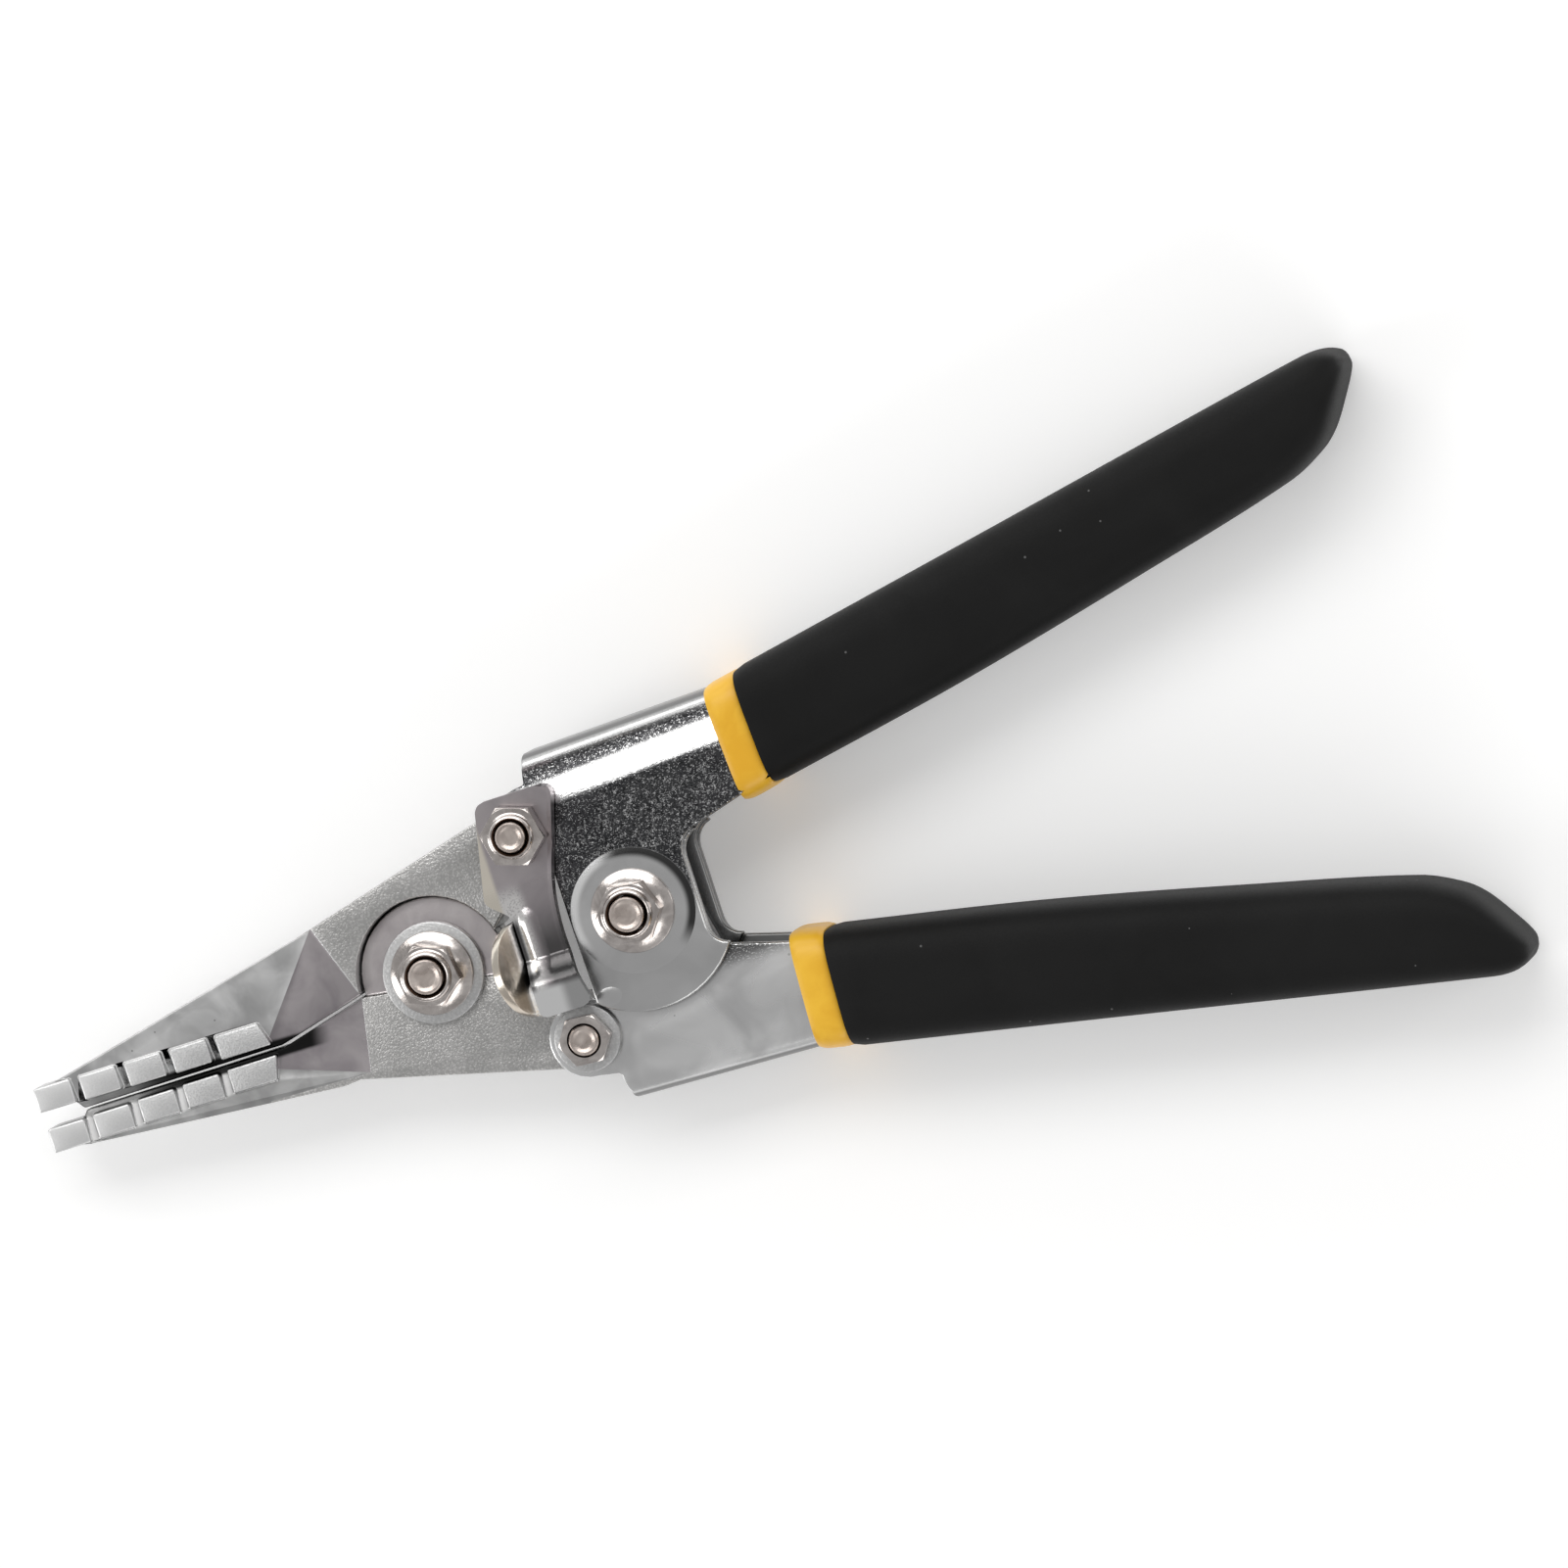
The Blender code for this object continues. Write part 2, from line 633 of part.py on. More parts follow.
def grip(name):
    inner, outer = mouth_line(0.0)
    outline = [inner]
    outline += [on_grip(GRIP_LENGTH * along, -out * MM) for along, out in GRIP_INNER_SIDE]
    outline += [on_grip(GRIP_LENGTH - back * MM, out * MM) for back, out in GRIP_END]
    along, out = GRIP_OUTER_BULGE
    outline += [on_grip(GRIP_LENGTH * along, out * MM), outer]
    body = plate(
        name, outline, -GRIP_HALF_THICK, GRIP_HALF_THICK, rounded=past_mouth, radius=GRIP_ROUND, segments=4
    )
    cut(body, tang_space(name + "_tang_space"))
    body.data.materials.append(GRIP_BLACK)
    return body


def collar(name):
    inner, outer = mouth_line(-CLEARANCE)
    inner += Vector((0.0, -COLLAR_INNER_SET))
    outer += Vector((0.0, -COLLAR_OUTER_SET))
    front_inner = inner - Vector((COLLAR_WIDTH, COLLAR_LEAN / 2))
    front_outer = outer - Vector((COLLAR_WIDTH, COLLAR_LEAN * 1.5))
    outline = [front_inner, inner, outer, front_outer]
    body = plate(
        name, outline, -COLLAR_HALF_THICK, COLLAR_HALF_THICK, rounded=everywhere, radius=COLLAR_ROUND, segments=2
    )
    cut(body, tang_space(name + "_tang_space"))
    body.data.materials.append(COLLAR_YELLOW)
    return body


def turned_over(source, name):
    """The same piece on the lower side, turned half a turn about X."""
    graph = bpy.context.evaluated_depsgraph_get()
    mesh = bpy.data.meshes.new_from_object(source.evaluated_get(graph))
    mesh.name = name
    mesh.transform(Matrix.Rotation(math.pi, 4, "X"))
    return link(bpy.data.objects.new(name, mesh), PARTS)


# Latch


def latch_outline(low, high):
    """The latch plate between two places along its length."""
    hollow_centre = (LATCH_WAIST_X + LATCH_HOLLOW_R, LATCH_HOLLOW_Y)

    def right_side(y):
        shoulder_x, shoulder_y = LATCH_SHOULDER
        if y < shoulder_y:
            return hollow_centre[0] - math.sqrt(LATCH_HOLLOW_R**2 - (y - hollow_centre[1]) ** 2)
        return shoulder_x + (y - shoulder_y) * LATCH_SHOULDER_SLANT

    def left_side(y):
        if y > LATCH_NECK_Y:
            return LATCH_NECK_X + (y - LATCH_NECK_Y) * LATCH_NECK_SLANT
        share = max(0.0, 2 * y / LATCH_NECK_Y - 1)
        return LATCH_LEFT_X + (LATCH_NECK_X - LATCH_LEFT_X) * share

    steps = max(2, round((high - low) / LATCH_RIM_STEP))
    heights = [low + (high - low) * index / steps for index in range(steps + 1)]
    right = [Vector((right_side(y), y)) for y in heights]
    left = [Vector((left_side(y), y)) for y in reversed(heights)]
    return right + left


def latch():
    low = LATCH_LOW
    high = low + LATCH_SHEET
    raised = LATCH_RAISED
    body = plate("latch", latch_outline(JOGGLE_Y, LATCH_TOP_Y), low, high)
    step_top = JOGGLE_Y + JOGGLE_OVERLAP
    step = plate(
        "latch_step",
        latch_outline(JOGGLE_Y + JOGGLE_INSET, step_top),
        low + JOGGLE_INSET,
        raised + JOGGLE_OVERLAP / 2,
        CUTTERS,
    )
    end = plate("latch_end", latch_outline(LATCH_END_Y, step_top), raised, raised + LATCH_SHEET, CUTTERS)
    half = TAB_LENGTH / 2
    bulge = (half**2 + TAB_REACH**2) / (2 * TAB_REACH)
    spread = math.degrees(math.asin(half / bulge))
    rim = arc((bulge - TAB_REACH, 0.0), bulge, 180 - spread, 180 + spread, 10)
    tab = plate(
        "latch_tab",
        [Vector((TAB_ROOT, half)), *rim, Vector((TAB_ROOT, -half))],
        -LATCH_SHEET / 2,
        LATCH_SHEET / 2,
        CUTTERS,
    )
    tab_at = Vector((LATCH_LEFT_X, LATCH_END_Y + TAB_END_GAP + half, low + LATCH_SHEET * TAB_BITE))
    tab.data.transform(Matrix.Translation(tab_at) @ Matrix.Rotation(TAB_TILT, 4, "Y"))
    join(body, step, end, tab)
    clear_x = LATCH_LEFT_X - 1.5 * TAB_REACH
    clear_y = LATCH_END_Y - 2 * LATCH_SHEET
    under = plate(
        "latch_underpass",
        [
            Vector((clear_x, clear_y)),
            Vector((UNDERPASS_RIGHT_X, clear_y)),
            Vector((UNDERPASS_RIGHT_X, JOGGLE_Y)),
            Vector((clear_x, JOGGLE_Y)),
        ],
        0.0,
        raised,
        CUTTERS,
    )
    hole = cylinder("latch_hole", UPPER_LINK, LINK_BOLT_R + CLEARANCE, -OVER, OVER)
    cut(body, under, hole)
    body.data.materials.append(LATCH_PLATING)
    return body


# Fasteners, bush and spring


def ring(name, centre, bore, radius, low, high, material):
    """A washer or a tube with small chamfers."""
    edge = min(SMALL_EDGE, (high - low) / 4)
    profile = [
        (bore, low),
        (radius - edge, low),
        (radius, low + edge),
        (radius, high - edge),
        (radius - edge, high),
        (bore, high),
    ]
    body = turned(name, centre, profile)
    body.data.materials.append(material)
    return body


def bolt(name, centre, radius, head_r, head_low, head_high, end):
    """A round-headed bolt standing on its head, with a chamfered end."""
    profile = [
        (0.0, head_low),
        (head_r - HEAD_EDGE, head_low),
        (head_r, head_low + HEAD_EDGE),
        (head_r, head_high),
        (radius, head_high),
        (radius, end - BOLT_CHAMFER),
        (radius - BOLT_CHAMFER, end),
        (0.0, end),
    ]
    body = turned(name, centre, profile)
    body.data.materials.append(FASTENER_PLATING)
    return body


def nut(name, centre, bore, hex_r, low, height, flange_r=0.0, collar_r=0.0):
    """A hexagon nut with chamfered corners, an optional flange and an optional locking collar."""
    high = low + height
    shape = bmesh.new()
    place = Matrix.Translation((centre[0], centre[1], (low + high) / 2)) @ Matrix.Rotation(math.pi / 6, 4, "Z")
    bmesh.ops.create_cone(
        shape, cap_ends=True, segments=6, radius1=hex_r, radius2=hex_r, depth=height, matrix=place
    )
    body = object_from(name, shape)
    face_r = hex_r * HEX_CHAMFER
    fall = (hex_r - face_r) * CHAMFER_STEEPNESS
    rounding = turned(
        name + "_rounding",
        centre,
        [(0.0, low - MM), (hex_r + MM, low - MM), (hex_r + MM, high - 2 * fall), (face_r, high), (0.0, high)],
        CUTTERS,
        48,
    )
    boolean(body, rounding, "INTERSECT")
    if flange_r:
        foot = low - SEAT_OVERLAP
        flange_top = foot + FLANGE_RISE
        flange = turned(
            name + "_flange",
            centre,
            [
                (0.0, foot),
                (flange_r, foot),
                (flange_r, foot + FLANGE_RIM),
                (hex_r * FLANGE_TOP_SHARE, flange_top),
                (0.0, flange_top),
            ],
            CUTTERS,
        )
        join(body, flange)
    if collar_r:
        collar_low = high - COLLAR_RISE / 2
        collar_top = high + COLLAR_RISE
        rim = turned(
            name + "_collar",
            centre,
            [
                (0.0, collar_low),
                (collar_r, collar_low),
                (collar_r, collar_top - SMALL_EDGE),
                (collar_r - SMALL_EDGE, collar_top),
                (0.0, collar_top),
            ],
            CUTTERS,
        )
        join(body, rim)
    cut(body, cylinder(name + "_bore", centre, bore, -OVER, OVER, sides=32))
    body.data.materials.append(FASTENER_PLATING)
    return body


def jaw_pivot_set():
    gap = CLEARANCE
    hole = PIVOT_BOLT_R + gap
    front = LAP_HALF + gap
    front_top = front + BIG_WASHER_THICK
    collar_top = front_top + gap + BIG_NUT_HEIGHT + COLLAR_RISE
    return [
        ring("jaw_pivot_washer", JAW_PIVOT, hole, BIG_WASHER_R, front, front_top, WASHER_STEEL),
        ring("jaw_pivot_back_washer", JAW_PIVOT, hole, BIG_WASHER_R, -front_top, -front, WASHER_STEEL),
        nut(
            "jaw_pivot_nut",
            JAW_PIVOT,
            hole,
            BIG_HEX_R,
            front_top + gap,
            BIG_NUT_HEIGHT,
            BIG_FLANGE_R,
            BIG_COLLAR_R,
        ),
        bolt(
            "jaw_pivot_bolt",
            JAW_PIVOT,
            PIVOT_BOLT_R,
            PIVOT_HEAD_R,
            -front_top - gap - JAW_HEAD_THICK,
            -front_top - gap,
            collar_top + BOLT_PROUD,
        ),
    ]


def handle_pivot_set():
    gap = CLEARANCE
    hole = PIVOT_BOLT_R + gap
    seat = OUTER_CHEEK_TOP + gap
    collar_top = seat + BIG_NUT_HEIGHT + COLLAR_RISE
    return [
        ring("handle_pivot_bush", HANDLE_PIVOT, hole, BUSH_R, -LAP_HALF, LAP_HALF, WASHER_STEEL),
        nut("handle_pivot_nut", HANDLE_PIVOT, hole, BIG_HEX_R, seat, BIG_NUT_HEIGHT, BIG_FLANGE_R, BIG_COLLAR_R),
        bolt(
            "handle_pivot_bolt",
            HANDLE_PIVOT,
            PIVOT_BOLT_R,
            PIVOT_HEAD_R,
            FLOOR,
            -seat,
            collar_top + BOLT_PROUD,
        ),
    ]


def upper_link_set():
    gap = CLEARANCE
    hole = LINK_BOLT_R + gap
    seat = OUTER_CHEEK_TOP + LATCH_SHEET + 2 * gap
    collar_top = seat + MIDDLE_NUT_HEIGHT + COLLAR_RISE
    head = -INNER_CHEEK_TOP - gap
    return [
        nut("upper_link_nut", UPPER_LINK, hole, MIDDLE_HEX_R, seat, MIDDLE_NUT_HEIGHT, 0.0, MIDDLE_COLLAR_R),
        bolt(
            "upper_link_bolt",
            UPPER_LINK,
            LINK_BOLT_R,
            LINK_HEAD_R,
            head - LINK_HEAD_THICK,
            head,
            collar_top + BOLT_PROUD,
        ),
    ]


def lower_link_set():
    gap = CLEARANCE
    hole = LINK_BOLT_R + gap
    seat = INNER_CHEEK_TOP + gap
    washer_top = seat + SMALL_WASHER_THICK
    nut_low = washer_top + gap
    nut_top = nut_low + SMALL_NUT_HEIGHT
    return [
        ring("lower_link_washer", LOWER_LINK, hole, SMALL_WASHER_R, seat, washer_top, WASHER_STEEL),
        nut("lower_link_nut", LOWER_LINK, hole, SMALL_HEX_R, nut_low, SMALL_NUT_HEIGHT),
        bolt(
            "lower_link_bolt",
            LOWER_LINK,
            LINK_BOLT_R,
            LINK_HEAD_R,
            FLOOR,
            -OUTER_CHEEK_TOP - gap,
            nut_top + BOLT_PROUD,
        ),
    ]


def handle_spring():
    """A torsion spring round the bush, with one leg in each channel."""
    first = math.pi / 2 - SPRING_LEG_ANGLE
    total = 2 * math.pi * SPRING_COILS - 2 * first
    half_height = SPRING_PITCH * total / (4 * math.pi)
    count = 16 * SPRING_COILS
    points = []
    for index in range(count + 1):
        share = index / count
        angle = first + total * share
        round_place = SPRING_COIL_R * Vector((math.cos(angle), math.sin(angle), 0.0))
        points.append(round_place + Vector((0.0, 0.0, (2 * share - 1) * half_height)))
    along = SPRING_LEG * Vector((math.cos(SPRING_LEG_ANGLE), 0.0, 0.0))
    across = SPRING_LEG * Vector((0.0, math.sin(SPRING_LEG_ANGLE), 0.0))
    route = [points[0] + along - across, *points, points[-1] + along + across]
    curve = bpy.data.curves.new("handle_spring", "CURVE")
    curve.dimensions = "3D"
    curve.bevel_depth = SPRING_WIRE_R
    curve.bevel_resolution = 2
    curve.use_fill_caps = True
    spline = curve.splines.new("POLY")
    spline.points.add(len(route) - 1)
    for point, place in zip(spline.points, route):
        point.co = (*place, 1.0)
    wire = bpy.data.objects.new("handle_spring_wire", curve)
    bpy.context.scene.collection.objects.link(wire)
    graph = bpy.context.evaluated_depsgraph_get()
    mesh = bpy.data.meshes.new_from_object(wire.evaluated_get(graph))
    bpy.data.objects.remove(wire, do_unlink=True)
    shape = bmesh.new()
    shape.from_mesh(mesh)
    bpy.data.meshes.remove(mesh)
    bmesh.ops.remove_doubles(shape, verts=shape.verts, dist=1e-6)
    spring = object_from("handle_spring", shape)
    spring.data.materials.append(SPRING_STEEL)
    return spring


# Assembly


def pivot_empty(name, place):
    empty = bpy.data.objects.new(name, None)
    empty.location = (place[0], place[1], MIDDLE_HEIGHT)
    empty.empty_display_size = 5 * MM
    PARTS.objects.link(empty)
    return empty


def hang(empty, pieces):
    """Gives each piece the empty's axis as its origin, and lifts it off the middle plane."""
    for piece in pieces:
        cutters = [step.object for step in piece.modifiers if step.type == "BOOLEAN"]
        for thing in [piece, *cutters]:
            shift = Vector((-empty.location.x, -empty.location.y, 0.0))
            thing.data.transform(Matrix.Translation(shift))
            thing.parent = empty


def build():
    upper_side = [handle("upper_handle"), collar("upper_collar"), grip("upper_grip")]
    bpy.context.view_layer.update()
    lower_side = [turned_over(piece, piece.name.replace("upper", "lower")) for piece in upper_side]
    fixed = lower_side + handle_pivot_set() + lower_link_set() + [handle_spring()]
    hang(pivot_empty("handle_pivot", HANDLE_PIVOT), fixed + upper_side)
    hang(pivot_empty("upper_link", UPPER_LINK), [upper_jaw(), latch()] + upper_link_set())
    hang(pivot_empty("lower_link", LOWER_LINK), [lower_jaw()] + jaw_pivot_set())
    for piece in PARTS.objects:
        if piece.type == "MESH":
            piece.data.shade_smooth()
            piece.data.set_sharp_from_angle(angle=math.radians(35))


build()
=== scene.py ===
"""Looks of the compound hand snips with bending jaws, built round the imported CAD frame.

Lengths are in metres, in the frame of the CAD: the handle pivot's axis is at the origin,
+X runs from the jaws to the handle ends, +Y to the upper handle and +Z towards the nuts.
"""

import math

import bpy
from mathutils import Matrix, Vector


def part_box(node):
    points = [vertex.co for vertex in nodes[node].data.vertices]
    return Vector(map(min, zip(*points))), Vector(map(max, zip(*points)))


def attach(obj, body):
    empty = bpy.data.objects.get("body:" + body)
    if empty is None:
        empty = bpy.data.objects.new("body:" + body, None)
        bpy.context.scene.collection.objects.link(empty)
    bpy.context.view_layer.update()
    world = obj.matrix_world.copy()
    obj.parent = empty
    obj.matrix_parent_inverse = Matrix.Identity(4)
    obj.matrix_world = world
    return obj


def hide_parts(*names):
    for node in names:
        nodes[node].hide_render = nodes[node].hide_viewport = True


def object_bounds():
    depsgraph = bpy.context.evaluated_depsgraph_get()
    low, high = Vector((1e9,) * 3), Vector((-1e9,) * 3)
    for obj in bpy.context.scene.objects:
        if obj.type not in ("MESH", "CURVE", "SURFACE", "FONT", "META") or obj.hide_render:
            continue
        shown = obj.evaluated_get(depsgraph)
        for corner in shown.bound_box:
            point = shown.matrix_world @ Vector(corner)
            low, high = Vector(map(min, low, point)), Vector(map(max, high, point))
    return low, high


MM = 0.001
SAME_PLACE = 2e-6  # vertices this near are one

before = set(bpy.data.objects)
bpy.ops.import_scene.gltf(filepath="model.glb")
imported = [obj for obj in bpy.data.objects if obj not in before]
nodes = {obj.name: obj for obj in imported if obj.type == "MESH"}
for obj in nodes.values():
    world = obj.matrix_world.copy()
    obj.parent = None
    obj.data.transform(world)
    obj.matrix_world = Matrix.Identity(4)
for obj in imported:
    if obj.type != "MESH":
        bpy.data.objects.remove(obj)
cad_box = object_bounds()

# Places that the CAD nodes give


def middle_of(node):
    low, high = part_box(node)
    return (low + high) / 2


HANDLE_PIVOT = middle_of("handle_pivot_nut")
JAW_PIVOT = middle_of("jaw_pivot_nut")
UPPER_LINK = middle_of("upper_link_nut")
LOWER_LINK = middle_of("lower_link_nut")
MIDDLE_HEIGHT = middle_of("handle_pivot_bush").z
FRONT_CHEEK_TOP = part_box("upper_handle")[1].z
SECOND_CHEEK_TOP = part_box("lower_handle")[1].z
LINK_BORE = 2.9 * MM
PIVOT_BORE = 3.3 * MM
BLADE_START = -56.0 * MM
BLADE_HALF = 3.2 * MM
BLOCKS_END = -66.2 * MM
LAP_DISC_R = 12.6 * MM
BOSS_R = 10.6 * MM


# Working on one piece at a time


def start_fresh():
    if bpy.context.mode != "OBJECT":
        bpy.ops.object.mode_set(mode="OBJECT")
    bpy.ops.object.select_all(action="DESELECT")


def only(piece):
    """Leaves object mode with the piece alone selected and active."""
    start_fresh()
    piece.select_set(True)
    bpy.context.view_layer.objects.active = piece
    return piece


def added(name):
    """Names the object that a primitive operator has just made."""
    piece = bpy.context.view_layer.objects.active
    piece.name = name
    piece.data.name = name
    return piece


def edit(piece, select="SELECT", mode="VERT"):
    only(piece)
    bpy.ops.object.mode_set(mode="EDIT")
    bpy.ops.mesh.select_mode(type=mode)
    bpy.ops.mesh.select_all(action=select)


def edit_where(piece, wanted):
    """Enters edit mode with the edges that the test accepts selected, and counts them."""
    edit(piece, "DESELECT", "EDGE")
    bpy.ops.object.mode_set(mode="OBJECT")
    count = 0
    for edge in piece.data.edges:
        edge.select = bool(wanted(edge))
        count += edge.select
    bpy.ops.object.mode_set(mode="EDIT")
    return count


def leave_edit():
    bpy.ops.object.mode_set(mode="OBJECT")


def apply_steps(piece):
    only(piece)
    for step in list(piece.modifiers):
        bpy.ops.object.modifier_apply(modifier=step.name)


def settle(piece, angle=32.0):
    """Merges doubles, points the faces outwards, applies the place and smooths below the angle."""
    edit(piece)
    bpy.ops.mesh.remove_doubles(threshold=SAME_PLACE)
    bpy.ops.mesh.normals_make_consistent(inside=False)
    leave_edit()
    bpy.ops.object.transform_apply(location=True, rotation=True, scale=True)
    bpy.ops.object.shade_smooth_by_angle(angle=math.radians(angle))
    return piece


def rounded_edges(piece, width, segments=3, angle=28.0, clamp=False):
    step = piece.modifiers.new("rounded_edges", "BEVEL")
    step.width = width
    step.segments = segments
    step.limit_method = "ANGLE"
    step.angle_limit = math.radians(angle)
    step.use_clamp_overlap = clamp
    step.miter_outer = "MITER_ARC"
    apply_steps(piece)
    return piece


def trimmed(piece, other, operation):
    """Applies a Boolean with a helper, which is then removed."""
    step = piece.modifiers.new(operation.lower(), "BOOLEAN")
    step.operation = operation
    step.object = other
    step.solver = "EXACT"
    apply_steps(piece)
    bpy.data.objects.remove(other, do_unlink=True)
    return piece


def joined(name, pieces):
    only(pieces[0])
    for piece in pieces:
        piece.select_set(True)
    bpy.ops.object.join()
    return added(name)


def cad_copy(node, name, gather=0.06 * MM, flat_within=0.6):
    """A merged copy of a CAD node's mesh, with flat faces dissolved, ready for finer edges."""
    piece = bpy.data.objects.new(name, nodes[node].data.copy())
    piece.data.name = name
    bpy.context.scene.collection.objects.link(piece)
    piece.data.materials.clear()
    only(piece)
    bpy.ops.mesh.customdata_custom_splitnormals_clear()
    edit(piece)
    bpy.ops.mesh.remove_doubles(threshold=gather)
    bpy.ops.mesh.dissolve_limited(angle_limit=math.radians(flat_within))
    leave_edit()
    return piece


def turned(name, centre, profile, sides=72, bored=False):
    """Raises a circle through (radius, height) steps. A bored profile runs back to its start."""
    start_fresh()
    radius, height = profile[0]
    bpy.ops.mesh.primitive_circle_add(
        vertices=sides,
        radius=radius,
        fill_type="NOTHING" if bored else "NGON",
        location=(centre[0], centre[1], height),
    )
    piece = added(name)
    edit(piece)
    for next_radius, next_height in profile[1:] + (profile[:1] if bored else []):
        bpy.ops.mesh.extrude_region_move(
            TRANSFORM_OT_translate={"value": (0.0, 0.0, next_height - height)}
        )
        share = next_radius / radius
        if abs(share - 1.0) > 1e-6:
            bpy.ops.transform.resize(
                value=(share, share, 1.0), center_override=(centre[0], centre[1], next_height)
            )
        radius, height = next_radius, next_height
    leave_edit()
    return settle(piece)


def face_outwards(piece):
    edit(piece)
    bpy.ops.mesh.normals_make_consistent(inside=False)
    leave_edit()


def laid_grid(name, columns, rows, place):
    """A grid with its vertices laid out by place(u, v), where u and v run from 0 to 1."""
    start_fresh()
    bpy.ops.mesh.primitive_grid_add(x_subdivisions=columns, y_subdivisions=rows, size=1.0)
    piece = added(name)
    for vert in piece.data.vertices:
        vert.co = place(vert.co.x + 0.5, vert.co.y + 0.5)
    return piece


def ride_as(piece, body, slot, *replaced, material=None):
    if material:
        piece.data.materials.clear()
        piece.data.materials.append(material)
    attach(piece, body)
    if replaced:
        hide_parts(*replaced)
    return piece


# Shader building


class Board:
    """Adds and wires the nodes of one shader tree."""

    def __init__(self, tree):
        self.tree = tree

    def put(self, kind, sockets=None, out=0, **settings):
        node = self.tree.nodes.new(kind)
        for key, value in settings.items():
            setattr(node, key, value)
        for key, value in (sockets or {}).items():
            self.feed(node.inputs[key], value)
        return node.outputs[out]

    def feed(self, socket, value):
        if isinstance(value, bpy.types.NodeSocket):
            self.tree.links.new(value, socket)
        else:
            socket.default_value = value

    def sum(self, operation, first, second=0.5):
        return self.put("ShaderNodeMath", {0: first, 1: second}, operation=operation)

    def times(self, first, second):
        return self.sum("MULTIPLY", first, second)

    def vector(self, operation, first, second, out=0):
        sockets = {0: first, 1: second}
        return self.put("ShaderNodeVectorMath", sockets, out=out, operation=operation)

    def divided(self, place, size):
        """The place divided by a size, so that a pattern made from it has that size."""
        sockets = {0: place, 3: self.sum("DIVIDE", 1.0, size)}
        return self.put("ShaderNodeVectorMath", sockets, operation="SCALE")

    def ramp(self, value, low, high, start=0.0, end=1.0):
        return self.put(
            "ShaderNodeMapRange",
            {"Value": value, "From Min": low, "From Max": high, "To Min": start, "To Max": end},
            interpolation_type="SMOOTHSTEP",
        )

    def mix(self, share, first, second):
        return self.put(
            "ShaderNodeMix", {0: share, 6: first, 7: second}, out=2, data_type="RGBA"
        )

    def between(self, share, first, second):
        return self.put("ShaderNodeMix", {0: share, 2: first, 3: second}, data_type="FLOAT")

    def noise(self, place, size, detail=2.0, roughness=0.5, distortion=0.0):
        return self.put(
            "ShaderNodeTexNoise",
            {
                "Vector": place,
                "Scale": 1.0 / size,
                "Detail": detail,
                "Roughness": roughness,
                "Distortion": distortion,
            },
        )

    def use(self, effect, sockets, out):
        node = self.tree.nodes.new("ShaderNodeGroup")
        node.node_tree = effect
        for key, value in sockets.items():
            self.feed(node.inputs[key], value)
        return node.outputs[out]


FLOAT = "NodeSocketFloat"
VECTOR = "NodeSocketVector"


def effect(name, inputs, outputs):
    """A node group with named sockets, as its board, its input node and its output node."""
    tree = bpy.data.node_groups.new(name, "ShaderNodeTree")
    for label, kind, value in inputs:
        tree.interface.new_socket(label, in_out="INPUT", socket_type=kind).default_value = value
    for label, kind in outputs:
        tree.interface.new_socket(label, in_out="OUTPUT", socket_type=kind)
    return Board(tree), tree.nodes.new("NodeGroupInput"), tree.nodes.new("NodeGroupOutput")


def sand_grain_effect():
    """The rough skin of a sand or shot-blasted casting: a height and a light and dark tone."""
    board, given, gives = effect(
        "sand_grain",
        [("Place", VECTOR, (0, 0, 0)), ("Grain", FLOAT, 0.0005)],
        [("Height", FLOAT), ("Tone", FLOAT)],
    )
    scaled = board.divided(given.outputs["Place"], given.outputs["Grain"])
    cells = board.tree.nodes.new("ShaderNodeTexVoronoi")
    cells.feature = "SMOOTH_F1"
    cells.inputs["Scale"].default_value = 1.0
    cells.inputs["Smoothness"].default_value = 0.35
    board.feed(cells.inputs["Vector"], scaled)
    bumps = board.ramp(cells.outputs["Distance"], 0.75, 0.10)
    fine = board.noise(scaled, 0.75, 3.0, 0.65)
    both = board.sum("ADD", board.times(bumps, 0.35), board.times(fine, 0.65))
    board.feed(gives.inputs["Height"], both)
    board.feed(gives.inputs["Tone"], board.ramp(both, 0.32, 0.66))
    return board.tree


def clouding_effect():
    """Slow light and dark drifts with a few streaks, as on a lightly ground or plated face."""
    board, given, gives = effect(
        "clouding",
        [("Place", VECTOR, (0, 0, 0)), ("Spread", FLOAT, 0.01)],
        [("Tone", FLOAT)],
    )
    scaled = board.divided(given.outputs["Place"], given.outputs["Spread"])
    drift = board.noise(scaled, 1.0, 3.0, 0.55, 0.6)
    broad = board.noise(scaled, 2.6, 1.0)
    both = board.sum("ADD", board.times(drift, 0.6), board.times(broad, 0.4))
    board.feed(gives.inputs["Tone"], board.ramp(both, 0.32, 0.68))
    return board.tree


def pitting_effect():
    """Scattered small specks: a mask that is 1 on a speck."""
    board, given, gives = effect(
        "pitting",
        [
            ("Place", VECTOR, (0, 0, 0)),
            ("Apart", FLOAT, 0.002),
            ("Size", FLOAT, 0.12),
            ("Share", FLOAT, 0.3),
        ],
        [("Mask", FLOAT)],
    )
    scaled = board.divided(given.outputs["Place"], given.outputs["Apart"])
    cell = board.tree.nodes.new("ShaderNodeTexVoronoi")
    cell.inputs["Scale"].default_value = 1.0
    board.feed(cell.inputs["Vector"], scaled)
    near = board.sum("LESS_THAN", cell.outputs["Distance"], given.outputs["Size"])
    parts = board.tree.nodes.new("ShaderNodeSeparateColor")
    board.feed(parts.inputs[0], cell.outputs["Color"])
    chosen = board.sum("LESS_THAN", parts.outputs[0], given.outputs["Share"])
    board.feed(gives.inputs["Mask"], board.times(near, chosen))
    return board.tree


